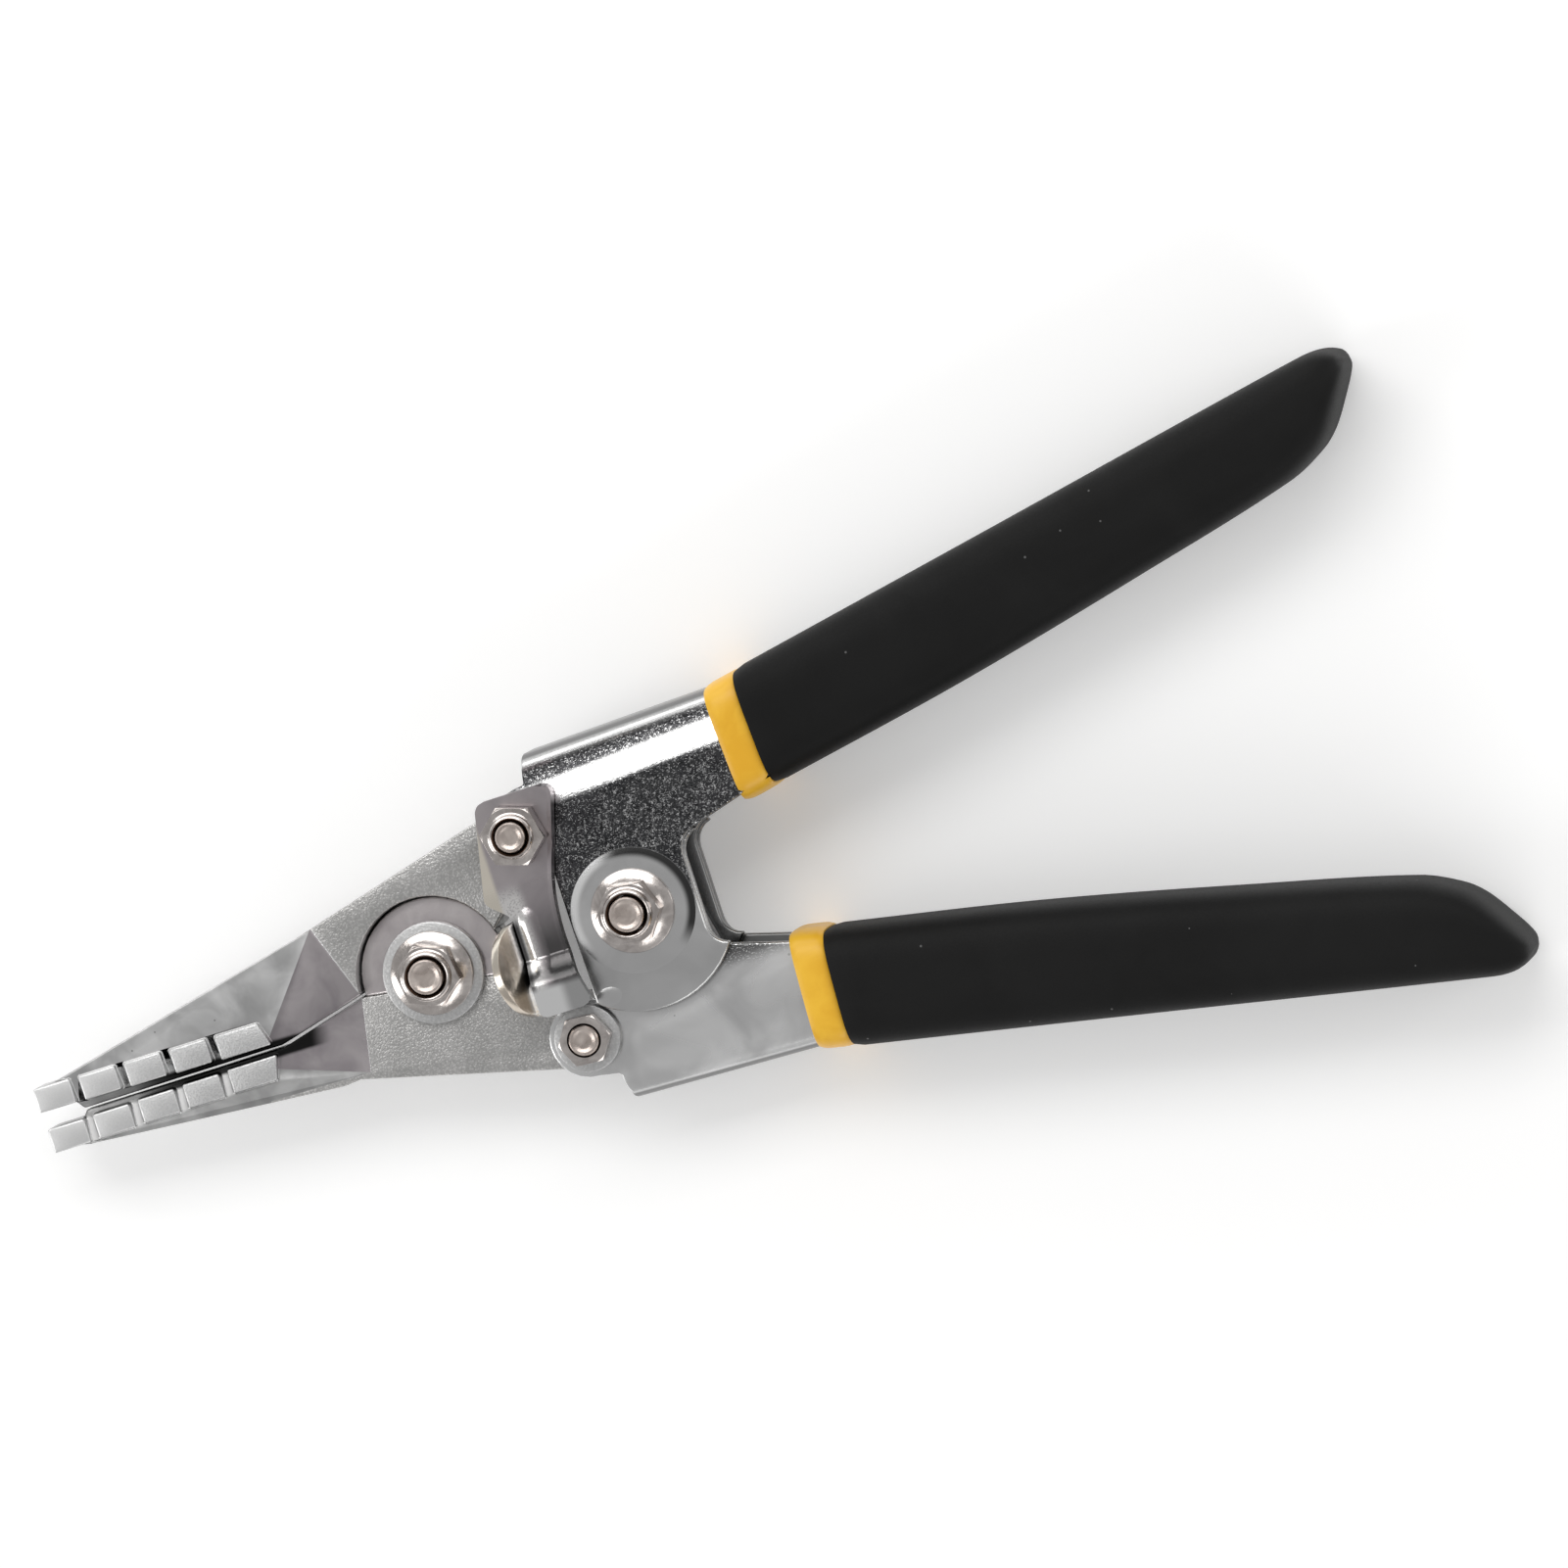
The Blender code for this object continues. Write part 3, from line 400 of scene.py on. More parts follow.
def round_zone_effect():
    """A mask that is 1 inside an upright cylinder, with a soft rim."""
    board, given, gives = effect(
        "round_zone",
        [
            ("Place", VECTOR, (0, 0, 0)),
            ("Centre", VECTOR, (0, 0, 0)),
            ("Radius", FLOAT, 0.01),
            ("Feather", FLOAT, 0.001),
        ],
        [("Mask", FLOAT), ("Away", FLOAT)],
    )
    offset = board.vector("SUBTRACT", given.outputs["Place"], given.outputs["Centre"])
    flat = board.vector("MULTIPLY", offset, (1.0, 1.0, 0.0))
    away = board.put("ShaderNodeVectorMath", {0: flat}, out=1, operation="LENGTH")
    outside = board.sum("SUBTRACT", away, given.outputs["Radius"])
    share = board.sum("DIVIDE", outside, given.outputs["Feather"])
    board.feed(gives.inputs["Mask"], board.ramp(share, 0.5, -0.5))
    board.feed(gives.inputs["Away"], away)
    return board.tree


def strip_zone_effect():
    """A mask that is 1 within a strip, given by its middle, its across direction and half width."""
    board, given, gives = effect(
        "strip_zone",
        [
            ("Place", VECTOR, (0, 0, 0)),
            ("Middle", VECTOR, (0, 0, 0)),
            ("Across", VECTOR, (0, 1, 0)),
            ("Half", FLOAT, 0.001),
            ("Feather", FLOAT, 0.0005),
        ],
        [("Mask", FLOAT)],
    )
    offset = board.vector("SUBTRACT", given.outputs["Place"], given.outputs["Middle"])
    out = board.vector("DOT_PRODUCT", offset, given.outputs["Across"], out=1)
    edge = board.sum("SUBTRACT", board.sum("ABSOLUTE", out), given.outputs["Half"])
    share = board.sum("DIVIDE", edge, given.outputs["Feather"])
    board.feed(gives.inputs["Mask"], board.ramp(share, 0.5, -0.5))
    return board.tree


SAND_GRAIN = sand_grain_effect()
CLOUDING = clouding_effect()
PITTING = pitting_effect()
ROUND_ZONE = round_zone_effect()
STRIP_ZONE = strip_zone_effect()


class Finish(Board):
    """A material under construction, with its shader and the Object coordinates at hand."""

    def __init__(self, name, metallic, roughness):
        self.material = bpy.data.materials.new(name)
        self.material.use_nodes = True
        super().__init__(self.material.node_tree)
        self.shader = self.tree.nodes["Principled BSDF"]
        self.shader.inputs["Metallic"].default_value = metallic
        self.shader.inputs["Roughness"].default_value = roughness
        self.place = self.put("ShaderNodeTexCoord", out="Object")

    def set(self, **sockets):
        for key, value in sockets.items():
            self.feed(self.shader.inputs[key.replace("_", " ")], value)

    def bump(self, height, distance, strength=1.0, under=None):
        sockets = {"Height": height, "Distance": distance, "Strength": strength}
        if under is not None:
            sockets["Normal"] = under
        return self.put("ShaderNodeBump", sockets)

    def cloud(self, spread):
        return self.use(CLOUDING, {"Place": self.place, "Spread": spread}, "Tone")

    def grain(self, size, out="Height"):
        return self.use(SAND_GRAIN, {"Place": self.place, "Grain": size}, out)

    def specks(self, apart, size, share):
        sockets = {"Place": self.place, "Apart": apart, "Size": size, "Share": share}
        return self.use(PITTING, sockets, "Mask")

    def strip(self, middle, across, half, feather):
        place = {"Place": self.place, "Middle": middle, "Across": across}
        return self.use(STRIP_ZONE, {**place, "Half": half, "Feather": feather}, "Mask")

    def drawn_out(self):
        """The place scaled across the handles, so that a pattern made from it runs along them."""
        return self.vector("MULTIPLY", self.place, (1.0, 1.9, 1.0))

    def parting(self):
        """A mask of painted shade along the jaws' parting line below the blocks' tops, fading out at
        the tips.
        """
        line = self.strip((-80.0 * MM, -4.45 * MM, 0.0), (0.0, 1.0, 0.0), 1.5 * MM, 0.7 * MM)
        far = self.ramp(self.axis("X"), -105.0 * MM, -84.0 * MM)
        low = self.ramp(self.axis("Z"), MIDDLE_HEIGHT + 4.1 * MM, MIDDLE_HEIGHT + 3.7 * MM)
        return self.times(line, self.times(far, low))

    def axis(self, name):
        return self.put("ShaderNodeSeparateXYZ", {0: self.place}, out=name)


def tint(red, green, blue):
    return (red, green, blue, 1.0)


def grey(value):
    return tint(value, value, value)


# Painted shade for the parting line and the recessed webs between the jaws' blocks
PARTING_SHADE = grey(0.015)


def casting_finish():
    """Plated rough casting of the jaw bodies."""
    made = Finish("plated_casting", 1.0, 0.36)
    height = made.grain(0.42 * MM)
    tone = made.grain(0.42 * MM, "Tone")
    cloud = made.cloud(9.0 * MM)
    base = made.mix(cloud, tint(0.56, 0.555, 0.545), tint(0.70, 0.69, 0.68))
    made.set(
        Base_Color=made.mix(made.between(tone, 0.36, 0.0), base, grey(0.16)),
        Roughness=made.between(tone, 0.42, 0.32),
        Normal=made.bump(height, 0.085 * MM),
    )
    return made.material


def ground_finish():
    """Lightly ground flats of the blades: cloudy, with a few dark specks, the lower jaw's flats darker
    as painted shade, and painted shade along the parting line.
    """
    made = Finish("ground_blade", 1.0, 0.40)
    cloud = made.cloud(6.0 * MM)
    specks = made.specks(2.6 * MM, 0.07, 0.30)
    fine = made.noise(made.place, 0.5 * MM, 3.0)
    # Painted shade: the lower jaw's flats take a darker copy of the same ground finish
    upper = made.ramp(made.axis("Y"), -6.5 * MM, -4.0 * MM)
    base = made.mix(cloud, grey(0.50), grey(0.74))
    base = made.mix(upper, made.mix(cloud, grey(0.30), grey(0.50)), base)
    base = made.mix(made.parting(), base, PARTING_SHADE)
    made.set(
        Base_Color=made.mix(made.times(specks, 0.6), base, grey(0.16)),
        Roughness=made.between(cloud, 0.34, 0.46),
        Normal=made.bump(fine, 0.010 * MM),
    )
    return made.material


def facet_finish():
    """Smooth darker facets between the blades and the castings, with painted shade along the parting
    line.
    """
    made = Finish("plated_facet", 1.0, 0.30)
    cloud = made.cloud(7.0 * MM)
    fine = made.noise(made.place, 0.8 * MM, 2.0)
    base = made.mix(cloud, tint(0.30, 0.275, 0.29), tint(0.44, 0.41, 0.42))
    made.set(
        Base_Color=made.mix(made.parting(), base, PARTING_SHADE),
        Normal=made.bump(fine, 0.008 * MM),
    )
    return made.material


def ridge_finish():
    """Rounded ridge where the casting drops to the facet, its base colour lightened as a painted
    highlight.
    """
    made = Finish("bright_ridge", 1.0, 0.26)
    height = made.grain(0.34 * MM)
    made.set(
        Base_Color=made.mix(height, grey(0.86), grey(1.0)),
        Normal=made.bump(height, 0.03 * MM),
    )
    return made.material


def block_finish():
    """Pale gritty blocks of the bending faces, grittier towards the pivot, with painted shade along
    the parting line below their tops.
    """
    made = Finish("gritty_block", 1.0, 0.42)
    height = made.grain(0.34 * MM)
    rough = made.ramp(made.axis("X"), -106.0 * MM, -74.0 * MM)
    share = made.times(height, made.between(rough, 0.12, 0.62))
    made.set(
        Base_Color=made.mix(made.parting(), made.mix(share, grey(0.84), grey(0.26)), PARTING_SHADE),
        Normal=made.bump(made.times(height, made.between(rough, 0.3, 1.0)), 0.05 * MM),
    )
    return made.material


def disc_finish():
    """The smooth lap disc round the jaw pivot."""
    made = Finish("lap_disc", 1.0, 0.30)
    cloud = made.cloud(5.0 * MM)
    height = made.grain(0.5 * MM)
    made.set(
        Base_Color=made.mix(cloud, tint(0.50, 0.46, 0.47), tint(0.66, 0.62, 0.62)),
        Normal=made.bump(height, 0.012 * MM),
    )
    return made.material


def bright_handle_finish():
    """Bright sheet of the upper handle: a painted dark reflection with painted glint flecks and a
    painted pale reflection band on the cheek, painted shade on the inner faces, and smooth on the
    lobe.
    """
    made = Finish("bright_sheet", 1.0, 0.15)
    along = made.axis("X")
    across = made.axis("Y")
    up = made.axis("Z")
    front = made.ramp(up, FRONT_CHEEK_TOP - 0.4 * MM, FRONT_CHEEK_TOP - 0.1 * MM)
    # Painted shade on the faces that lie below the front cheek, inside the channel
    inside = made.ramp(up, FRONT_CHEEK_TOP - 0.7 * MM, FRONT_CHEEK_TOP - 1.6 * MM)
    risen = made.sum("SUBTRACT", across, made.times(along, 0.035))
    zone = {"Place": made.place, "Centre": HANDLE_PIVOT, "Radius": BOSS_R, "Feather": 0.4 * MM}
    boss = made.use(ROUND_ZONE, zone, "Mask")
    low = made.ramp(across, 2.0 * MM, -4.0 * MM)
    smooth = made.sum("MAXIMUM", boss, low)
    # Painted reflection: a pale band standing for a softbox seen in the cheek's crown
    band = made.strip((0.0, 23.6 * MM, 0.0), (-0.06, 1.0, 0.0), 1.9 * MM, 1.3 * MM)
    drawn = made.drawn_out()
    peel = made.noise(drawn, 0.62 * MM, 2.0, 0.6)
    hairs = made.noise(made.place, 0.9 * MM, 2.0, 0.7, 1.2)
    hairs = made.sum("ABSOLUTE", made.sum("SUBTRACT", hairs, 0.5))
    kept = made.ramp(made.noise(made.place, 0.62 * MM, 1.0), 0.50, 0.58)
    # Painted glints: bright dots and dashes standing for light caught by the orange peel
    dots = made.ramp(made.noise(drawn, 0.40 * MM, 1.5, 0.6), 0.60, 0.66)
    dashes = made.times(made.ramp(hairs, 0.030, 0.010), kept)
    flecks = made.sum("MAXIMUM", dashes, made.times(dots, 0.7))
    pits = made.ramp(made.noise(made.place, 0.30 * MM, 1.0, 0.5), 0.44, 0.36)
    drift = made.noise(made.place, 5.0 * MM, 2.0)
    flecked = made.times(made.sum("SUBTRACT", 1.0, smooth), front)
    # Painted dark reflection of the flat cheek, which carries the painted glints
    ground = made.mix(drift, tint(0.022, 0.023, 0.026), tint(0.13, 0.13, 0.135))
    dark = made.mix(made.times(flecks, 0.95), ground, grey(0.97))
    dark = made.mix(made.times(pits, 0.8), dark, grey(0.02))
    cloud = made.cloud(14.0 * MM)
    plain = made.mix(cloud, grey(0.52), grey(0.68))
    skin = made.mix(flecked, plain, dark)
    skin = made.mix(made.times(band, front), skin, grey(0.97))
    skin = made.mix(inside, skin, grey(0.22))
    crown = made.ramp(risen, 20.8 * MM, 27.6 * MM, 0.0, -1.9 * MM)
    crowned = made.bump(made.times(crown, front), 1.0)
    peeled = made.times(peel, made.between(flecked, 0.10, 1.0))
    made.set(
        Base_Color=skin,
        Roughness=made.between(flecked, 0.26, 0.17),
        Normal=made.bump(peeled, 0.075 * MM, 1.0, crowned),
    )
    return made.material


def boss_finish():
    """The pivot boss: plain sheet with a painted highlight on the upper left of its rim and painted
    shade on the right.
    """
    made = Finish("boss_sheet", 1.0, 0.24)
    zone = {"Place": made.place, "Centre": HANDLE_PIVOT, "Radius": 9.3 * MM, "Feather": 1.1 * MM}
    rim = made.sum("SUBTRACT", 1.0, made.use(ROUND_ZONE, zone, "Mask"))
    away = made.use(ROUND_ZONE, zone, "Away")
    across = made.sum("DIVIDE", made.axis("X"), away)
    along = made.sum("DIVIDE", made.axis("Y"), away)
    left = made.sum("SUBTRACT", made.times(along, 0.62), made.times(across, 0.78))
    right = made.sum("ADD", made.times(along, 0.50), made.times(across, 0.87))
    # Painted highlight and painted shade on the sloped rim, by how the light falls on it
    pale = made.times(rim, made.ramp(left, 0.35, 0.70))
    dark = made.times(rim, made.ramp(right, 0.10, 0.55))
    cloud = made.cloud(14.0 * MM)
    body = made.mix(cloud, grey(0.56), grey(0.72))
    body = made.mix(pale, body, grey(0.99))
    fine = made.noise(made.drawn_out(), 0.62 * MM, 2.0, 0.6)
    made.set(
        Base_Color=made.mix(made.times(dark, 0.95), body, grey(0.03)),
        Normal=made.bump(fine, 0.012 * MM),
    )
    return made.material


def satin_handle_finish():
    """Smooth grey plated sheet of the lower handle, with a painted pale sheen in clouds towards its
    outer edge, a painted dark reflection with glint flecks near its inner edge and painted shade on
    its deeper faces.
    """
    made = Finish("satin_sheet", 1.0, 0.24)
    cloud = made.cloud(12.0 * MM)
    # Painted sheen: pale clouds towards the rounded outer edge
    outer = made.ramp(made.axis("Y"), -22.0 * MM, -29.0 * MM)
    specks = made.specks(3.2 * MM, 0.08, 0.25)
    plain = made.mix(cloud, grey(0.62), grey(0.78))
    pale = made.mix(made.times(outer, cloud), plain, grey(0.95))
    fine = made.noise(made.place, 0.9 * MM, 2.0)
    pale = made.mix(made.times(specks, 0.5), pale, grey(0.25))
    # Painted dark reflection with painted glint flecks near the inner edge, towards the handle ends
    inner = made.ramp(made.axis("Y"), -15.0 * MM, -11.5 * MM)
    inner = made.times(inner, made.ramp(made.axis("X"), 9.0 * MM, 13.0 * MM))
    flecks = made.ramp(made.noise(made.drawn_out(), 0.42 * MM, 1.5, 0.6), 0.56, 0.64)
    dark = made.mix(flecks, grey(0.07), grey(0.75))
    pale = made.mix(made.times(inner, 0.85), pale, dark)
    # Painted shade on the faces below the second cheek's top
    deep = made.ramp(made.axis("Z"), SECOND_CHEEK_TOP - 0.7 * MM, SECOND_CHEEK_TOP - 1.6 * MM)
    made.set(
        Base_Color=made.mix(deep, pale, grey(0.20)),
        Roughness=made.between(cloud, 0.20, 0.30),
        Normal=made.bump(fine, 0.012 * MM),
    )
    return made.material


def latch_finish():
    """Nickel-plated latch sheet, faintly violet, with painted highlights and painted shade on its
    formed lower end, and a tan tab.
    """
    made = Finish("latch_nickel", 1.0, 0.22)
    across = made.axis("X")
    along = made.axis("Y")
    cloud = made.cloud(7.0 * MM)
    # Painted highlight: the formed lower left is pale, with darker flecks in it
    formed = made.ramp(along, 11.0 * MM, 7.5 * MM)
    left = made.ramp(across, -16.0 * MM, -18.0 * MM)
    flecks = made.ramp(made.noise(made.place, 0.36 * MM, 2.0, 0.65), 0.52, 0.60)
    plain = made.mix(cloud, tint(0.40, 0.365, 0.38), tint(0.54, 0.50, 0.51))
    bright = made.mix(made.times(flecks, 0.35), tint(0.93, 0.91, 0.90), grey(0.30))
    skin = made.mix(made.times(formed, left), plain, bright)
    # Painted shade: a dark strip along the bend at the tab's root and a dark strip across the plate's
    # upswept end
    valley_shade = made.strip((-19.6 * MM, 0.0, 0.0), (1.0, 0.0, 0.0), 0.7 * MM, 0.7 * MM)
    valley_shade = made.times(valley_shade, made.ramp(along, 5.5 * MM, 3.0 * MM))
    shade_patch = made.strip((0.0, -5.6 * MM, 0.0), (0.0, 1.0, 0.0), 1.1 * MM, 1.2 * MM)
    tab = made.ramp(across, -20.3 * MM, -21.2 * MM)
    lower = made.ramp(along, 3.0 * MM, -10.0 * MM)
    tan = made.mix(lower, tint(0.86, 0.80, 0.70), tint(0.62, 0.55, 0.47))
    skin = made.mix(made.times(valley_shade, 0.9), skin, grey(0.05))
    skin = made.mix(made.times(shade_patch, 0.85), skin, grey(0.04))
    right = made.ramp(across, -17.5 * MM, -15.0 * MM)
    shade = made.times(made.ramp(along, 8.0 * MM, -2.0 * MM), right)
    skin = made.mix(made.times(shade, 0.88), skin, grey(0.06))
    end = made.ramp(along, -7.0 * MM, -8.4 * MM)
    lit = made.mix(made.ramp(across, -13.5 * MM, -15.5 * MM), grey(0.5), grey(0.95))
    skin = made.mix(end, skin, lit)
    fine = made.noise(made.place, 0.6 * MM, 2.0)
    made.set(
        Base_Color=made.mix(tab, skin, tan),
        Roughness=made.between(formed, 0.30, 0.19),
        Normal=made.bump(fine, 0.016 * MM),
    )
    return made.material


def nickel_finish(name, base, shade, roughness, grain):
    """Clouded plating in two tones: nuts, bolt ends and the painted shade on the walls of the nuts'
    bores.
    """
    made = Finish(name, 1.0, roughness)
    cloud = made.cloud(2.4 * MM)
    height = made.noise(made.place, 0.45 * MM, 3.0, 0.6)
    made.set(
        Base_Color=made.mix(cloud, shade, base),
        Roughness=made.between(cloud, roughness * 0.8, roughness * 1.3),
        Normal=made.bump(height, grain),
    )
    return made.material


def washer_finish():
    """Rough pale washer steel."""
    made = Finish("tumbled_washer", 1.0, 0.42)
    height = made.grain(0.45 * MM)
    made.set(
        Base_Color=made.mix(height, grey(0.46), grey(0.72)),
        Normal=made.bump(height, 0.04 * MM),
    )
    return made.material


def spring_finish():
    """Dark oiled spring wire with drawing lines along the coil."""
    made = Finish("oiled_spring_wire", 1.0, 0.33)
    streak = made.noise(made.place, 0.5 * MM, 3.0)
    made.set(
        Base_Color=made.mix(streak, tint(0.10, 0.10, 0.105), tint(0.30, 0.30, 0.31)),
        Normal=made.bump(streak, 0.01 * MM),
    )
    return made.material


def grip_finish():
    """Matt black dipped vinyl with a fine stipple and a few pale dust specks."""
    made = Finish("dipped_black_vinyl", 0.0, 0.60)
    stipple = made.noise(made.place, 0.35 * MM, 3.0, 0.6)
    cloud = made.cloud(16.0 * MM)
    dust = made.specks(3.4 * MM, 0.06, 0.22)
    base = made.mix(cloud, grey(0.0060), grey(0.0095))
    made.set(
        Base_Color=made.mix(made.times(dust, 0.35), base, grey(0.30)),
        Roughness=made.between(stipple, 0.52, 0.70),
        Normal=made.bump(stipple, 0.030 * MM),
        Specular_IOR_Level=0.16,
    )
    return made.material


def collar_finish():
    """Yellow moulded plastic with a slight sheen and faint flow clouds."""
    made = Finish("yellow_plastic", 0.0, 0.34)
    cloud = made.cloud(5.0 * MM)
    fine = made.noise(made.place, 0.5 * MM, 2.0)
    made.set(
        Base_Color=made.mix(cloud, tint(0.80, 0.42, 0.020), tint(0.90, 0.52, 0.035)),
        Roughness=made.between(cloud, 0.30, 0.42),
        Normal=made.bump(fine, 0.012 * MM),
    )
    return made.material


CASTING = casting_finish()
GROUND = ground_finish()
FACET = facet_finish()
BLOCK = block_finish()
RIDGE = ridge_finish()
DISC = disc_finish()
BRIGHT_SHEET = bright_handle_finish()
BOSS_SHEET = boss_finish()
SATIN_SHEET = satin_handle_finish()
LATCH_NICKEL = latch_finish()
NUT_NICKEL = nickel_finish(
    "nut_nickel", tint(0.74, 0.69, 0.66), tint(0.46, 0.42, 0.40), 0.17, 0.016 * MM
)
BOLT_NICKEL = nickel_finish(
    "bolt_nickel", tint(0.74, 0.66, 0.61), tint(0.50, 0.43, 0.39), 0.30, 0.035 * MM
)
# Painted shade for the walls of the nuts' bores
BORE_SHADE = nickel_finish(
    "groove_insert", tint(0.16, 0.10, 0.07), tint(0.06, 0.04, 0.03), 0.40, 0.02 * MM
)
WASHER = washer_finish()
SPRING_WIRE = spring_finish()
VINYL = grip_finish()
YELLOW = collar_finish()


# Jaws


CAST_FACE, GROUND_FACE, FACET_FACE, BLOCK_FACE, DISC_FACE, RIDGE_FACE = range(6)
RIDGE_WIDTH = 1.3 * MM
RIDGE_NEAR = 0.7 * MM
RIDGE_SHORTEST = 2.0 * MM
LAP_RISE = 4.2 * MM


def jaw_slot(face, corners):
    """The finish of a jaw's face, by where it lies and which way it points."""
    middle = face.center
    height = abs(middle.z - MIDDLE_HEIGHT)
    level = abs(face.normal.z) > 0.9
    flat = abs(face.normal.z) > 0.9995
    if middle.x < BLOCKS_END and height > BLADE_HALF + 0.4 * MM and (flat or not level):
        return BLOCK_FACE
    if middle.x < BLADE_START + 8.0 * MM and level and abs(face.normal.x) > 0.07:
        return FACET_FACE
    upright = abs(face.normal.z) < 0.3
    if middle.x < BLADE_START or (middle.x < BLADE_START + 10.0 * MM and upright):
        return GROUND_FACE
    to_pivot = max(math.hypot(place.x - JAW_PIVOT.x, place.y - JAW_PIVOT.y) for place in corners)
    if level and to_pivot < LAP_DISC_R + 0.6 * MM and height > LAP_RISE:
        return DISC_FACE
    return CAST_FACE


def jaw(node, name, body, ridge):
    """A jaw with the finish of each face, and a rounded ridge between two (x, y) points."""
    piece = cad_copy(node, name, 0.01 * MM, 0.3)
    for material in (CASTING, GROUND, FACET, BLOCK, DISC, RIDGE):
        piece.data.materials.append(material)
    places = [vert.co for vert in piece.data.vertices]
    for face in piece.data.polygons:
        face.material_index = jaw_slot(face, [places[index] for index in face.vertices])
    first, last = (Vector(point) for point in ridge)
    run = last - first

    def on_ridge(edge):
        ends = [piece.data.vertices[index].co for index in edge.vertices]
        if (ends[0] - ends[1]).length < RIDGE_SHORTEST:
            return False
        for end in ends:
            offset = Vector((end.x, end.y)) - first
            share = offset.dot(run) / run.length_squared
            if not -0.15 < share < 1.15 or (offset - share * run).length > RIDGE_NEAR:
                return False
            if end.z < MIDDLE_HEIGHT + BLADE_HALF:
                return False
        return True

    if edit_where(piece, on_ridge):
        bpy.ops.mesh.bevel(
            offset=RIDGE_WIDTH, segments=6, affect="EDGES", clamp_overlap=True, material=RIDGE_FACE
        )
    leave_edit()
    rounded_edges(piece, 0.32 * MM)
    settle(piece)
    return ride_as(piece, body, "jaw_plating", node)


jaw("upper_jaw", "upper_jaw_cast", "upper_jaw", ((-0.0540, 0.0133), (-0.0497, 0.0010)))
jaw("lower_jaw", "lower_jaw_cast", "lower_jaw", ((-0.0522, -0.0126), (-0.0499, -0.0011)))


# Handles


def handle(node, name, body, material):
    piece = cad_copy(node, name)
    rounded_edges(piece, 0.35 * MM)
    settle(piece)
    return ride_as(piece, body, "handle_plating", node, material=material)


handle("upper_handle", "upper_handle_sheet", "upper_handle", BRIGHT_SHEET)
handle("lower_handle", "lower_handle_sheet", "lower_handle", SATIN_SHEET)

BOSS_HEIGHT = 0.26 * MM
PAD_PLACE = (-8.4 * MM, -12.6 * MM, 0.0)
PAD_FLATNESS = 0.72
boss = turned(
    "pivot_boss",
    HANDLE_PIVOT,
    [
        (BOSS_R, FRONT_CHEEK_TOP - 0.4 * MM),
        (BOSS_R, FRONT_CHEEK_TOP + 0.02 * MM),
        (10.1 * MM, FRONT_CHEEK_TOP + 0.12 * MM),
        (9.5 * MM, FRONT_CHEEK_TOP + 0.21 * MM),
        (8.9 * MM, FRONT_CHEEK_TOP + BOSS_HEIGHT),
        (4.0 * MM, FRONT_CHEEK_TOP + BOSS_HEIGHT),
    ],
    96,
)
pad = turned(
    "stamped_pad",
    PAD_PLACE,
    [
        (2.2 * MM, FRONT_CHEEK_TOP - 0.4 * MM),
        (2.2 * MM, FRONT_CHEEK_TOP + 0.02 * MM),
        (1.6 * MM, FRONT_CHEEK_TOP + 0.14 * MM),
        (0.8 * MM, FRONT_CHEEK_TOP + 0.18 * MM),
    ],
    48,
)
edit(pad)
bpy.ops.transform.resize(value=(1.0, PAD_FLATNESS, 1.0), center_override=PAD_PLACE)
leave_edit()
boss = joined("pivot_boss_and_pad", [boss, pad])
ride_as(boss, "upper_handle", "handle_plating", material=BOSS_SHEET)


# Collars and grips


HANDLE_ANGLE = math.radians(11.2)
GRIP_START = Vector((28.2 * MM, 22.9 * MM))
GRIP_HALF_THICK = 11.45 * MM
COLLAR_HALF_THICK = 10.6 * MM
MOUTH_INNER, MOUTH_OUTER = -1.0 * MM, 1.9 * MM
GRIP_HALF = 10.2 * MM
COLLAR_LENGTH = 5.75 * MM

# The grip's sides as (along, out) points, in millimetres, up to its end
GRIP_END = 116.9
FULL_DEPTH = 15.4
INNER_SIDE = ((0.0, -10.1), (35.0, -10.25), (70.0, -9.1), (98.3, -7.6), (105.5, -5.7))
INNER_END = ((109.0, -3.65), (112.8, 0.1), (116.2, 4.0), (GRIP_END, 5.8))
OUTER_SIDE = ((0.0, 10.1), (52.6, 9.9), (108.5, 9.75), (113.0, 9.3), (116.0, 7.7), (GRIP_END, 5.8))
TANG_INNER, TANG_OUTER = -8.5 * MM, 8.6 * MM
TANG_BOTTOM, TANG_TOP = -7.4 * MM, 9.4 * MM
TANG_ROUNDING = 3.2 * MM


def smooth_step(value):
    value = min(1.0, max(0.0, value))
    return value * value * (3.0 - 2.0 * value)


def on_curve(points, along):
    """A smooth curve through (along, out) points, both in millimetres."""
    if along <= points[0][0]:
        return points[0][1]
    for index in range(len(points) - 1):
        (first, low), (last, high) = points[index], points[index + 1]
        if along <= last:
            before = points[max(0, index - 1)]
            after = points[min(len(points) - 1, index + 2)]
            rise_in = (high - before[1]) / (last - before[0]) * (last - first)
            rise_out = (after[1] - low) / (after[0] - first) * (last - first)
            t = (along - first) / (last - first)
            value = (2 * t**3 - 3 * t**2 + 1) * low + (3 * t**2 - 2 * t**3) * high
            return value + (t**3 - 2 * t**2 + t) * rise_in + (t**3 - t**2) * rise_out
    return points[-1][1]


def section_point(low, high, half_thick, turn, power):
    """A point of a rounded section: out from the middle line, and up from the middle height."""
    side = math.cos(turn)
    rise = math.sin(turn)
    out = (low + high) / 2 + (high - low) / 2 * math.copysign(abs(side) ** (2 / power), side)
    return out, half_thick * math.copysign(abs(rise) ** (2 / power), rise)


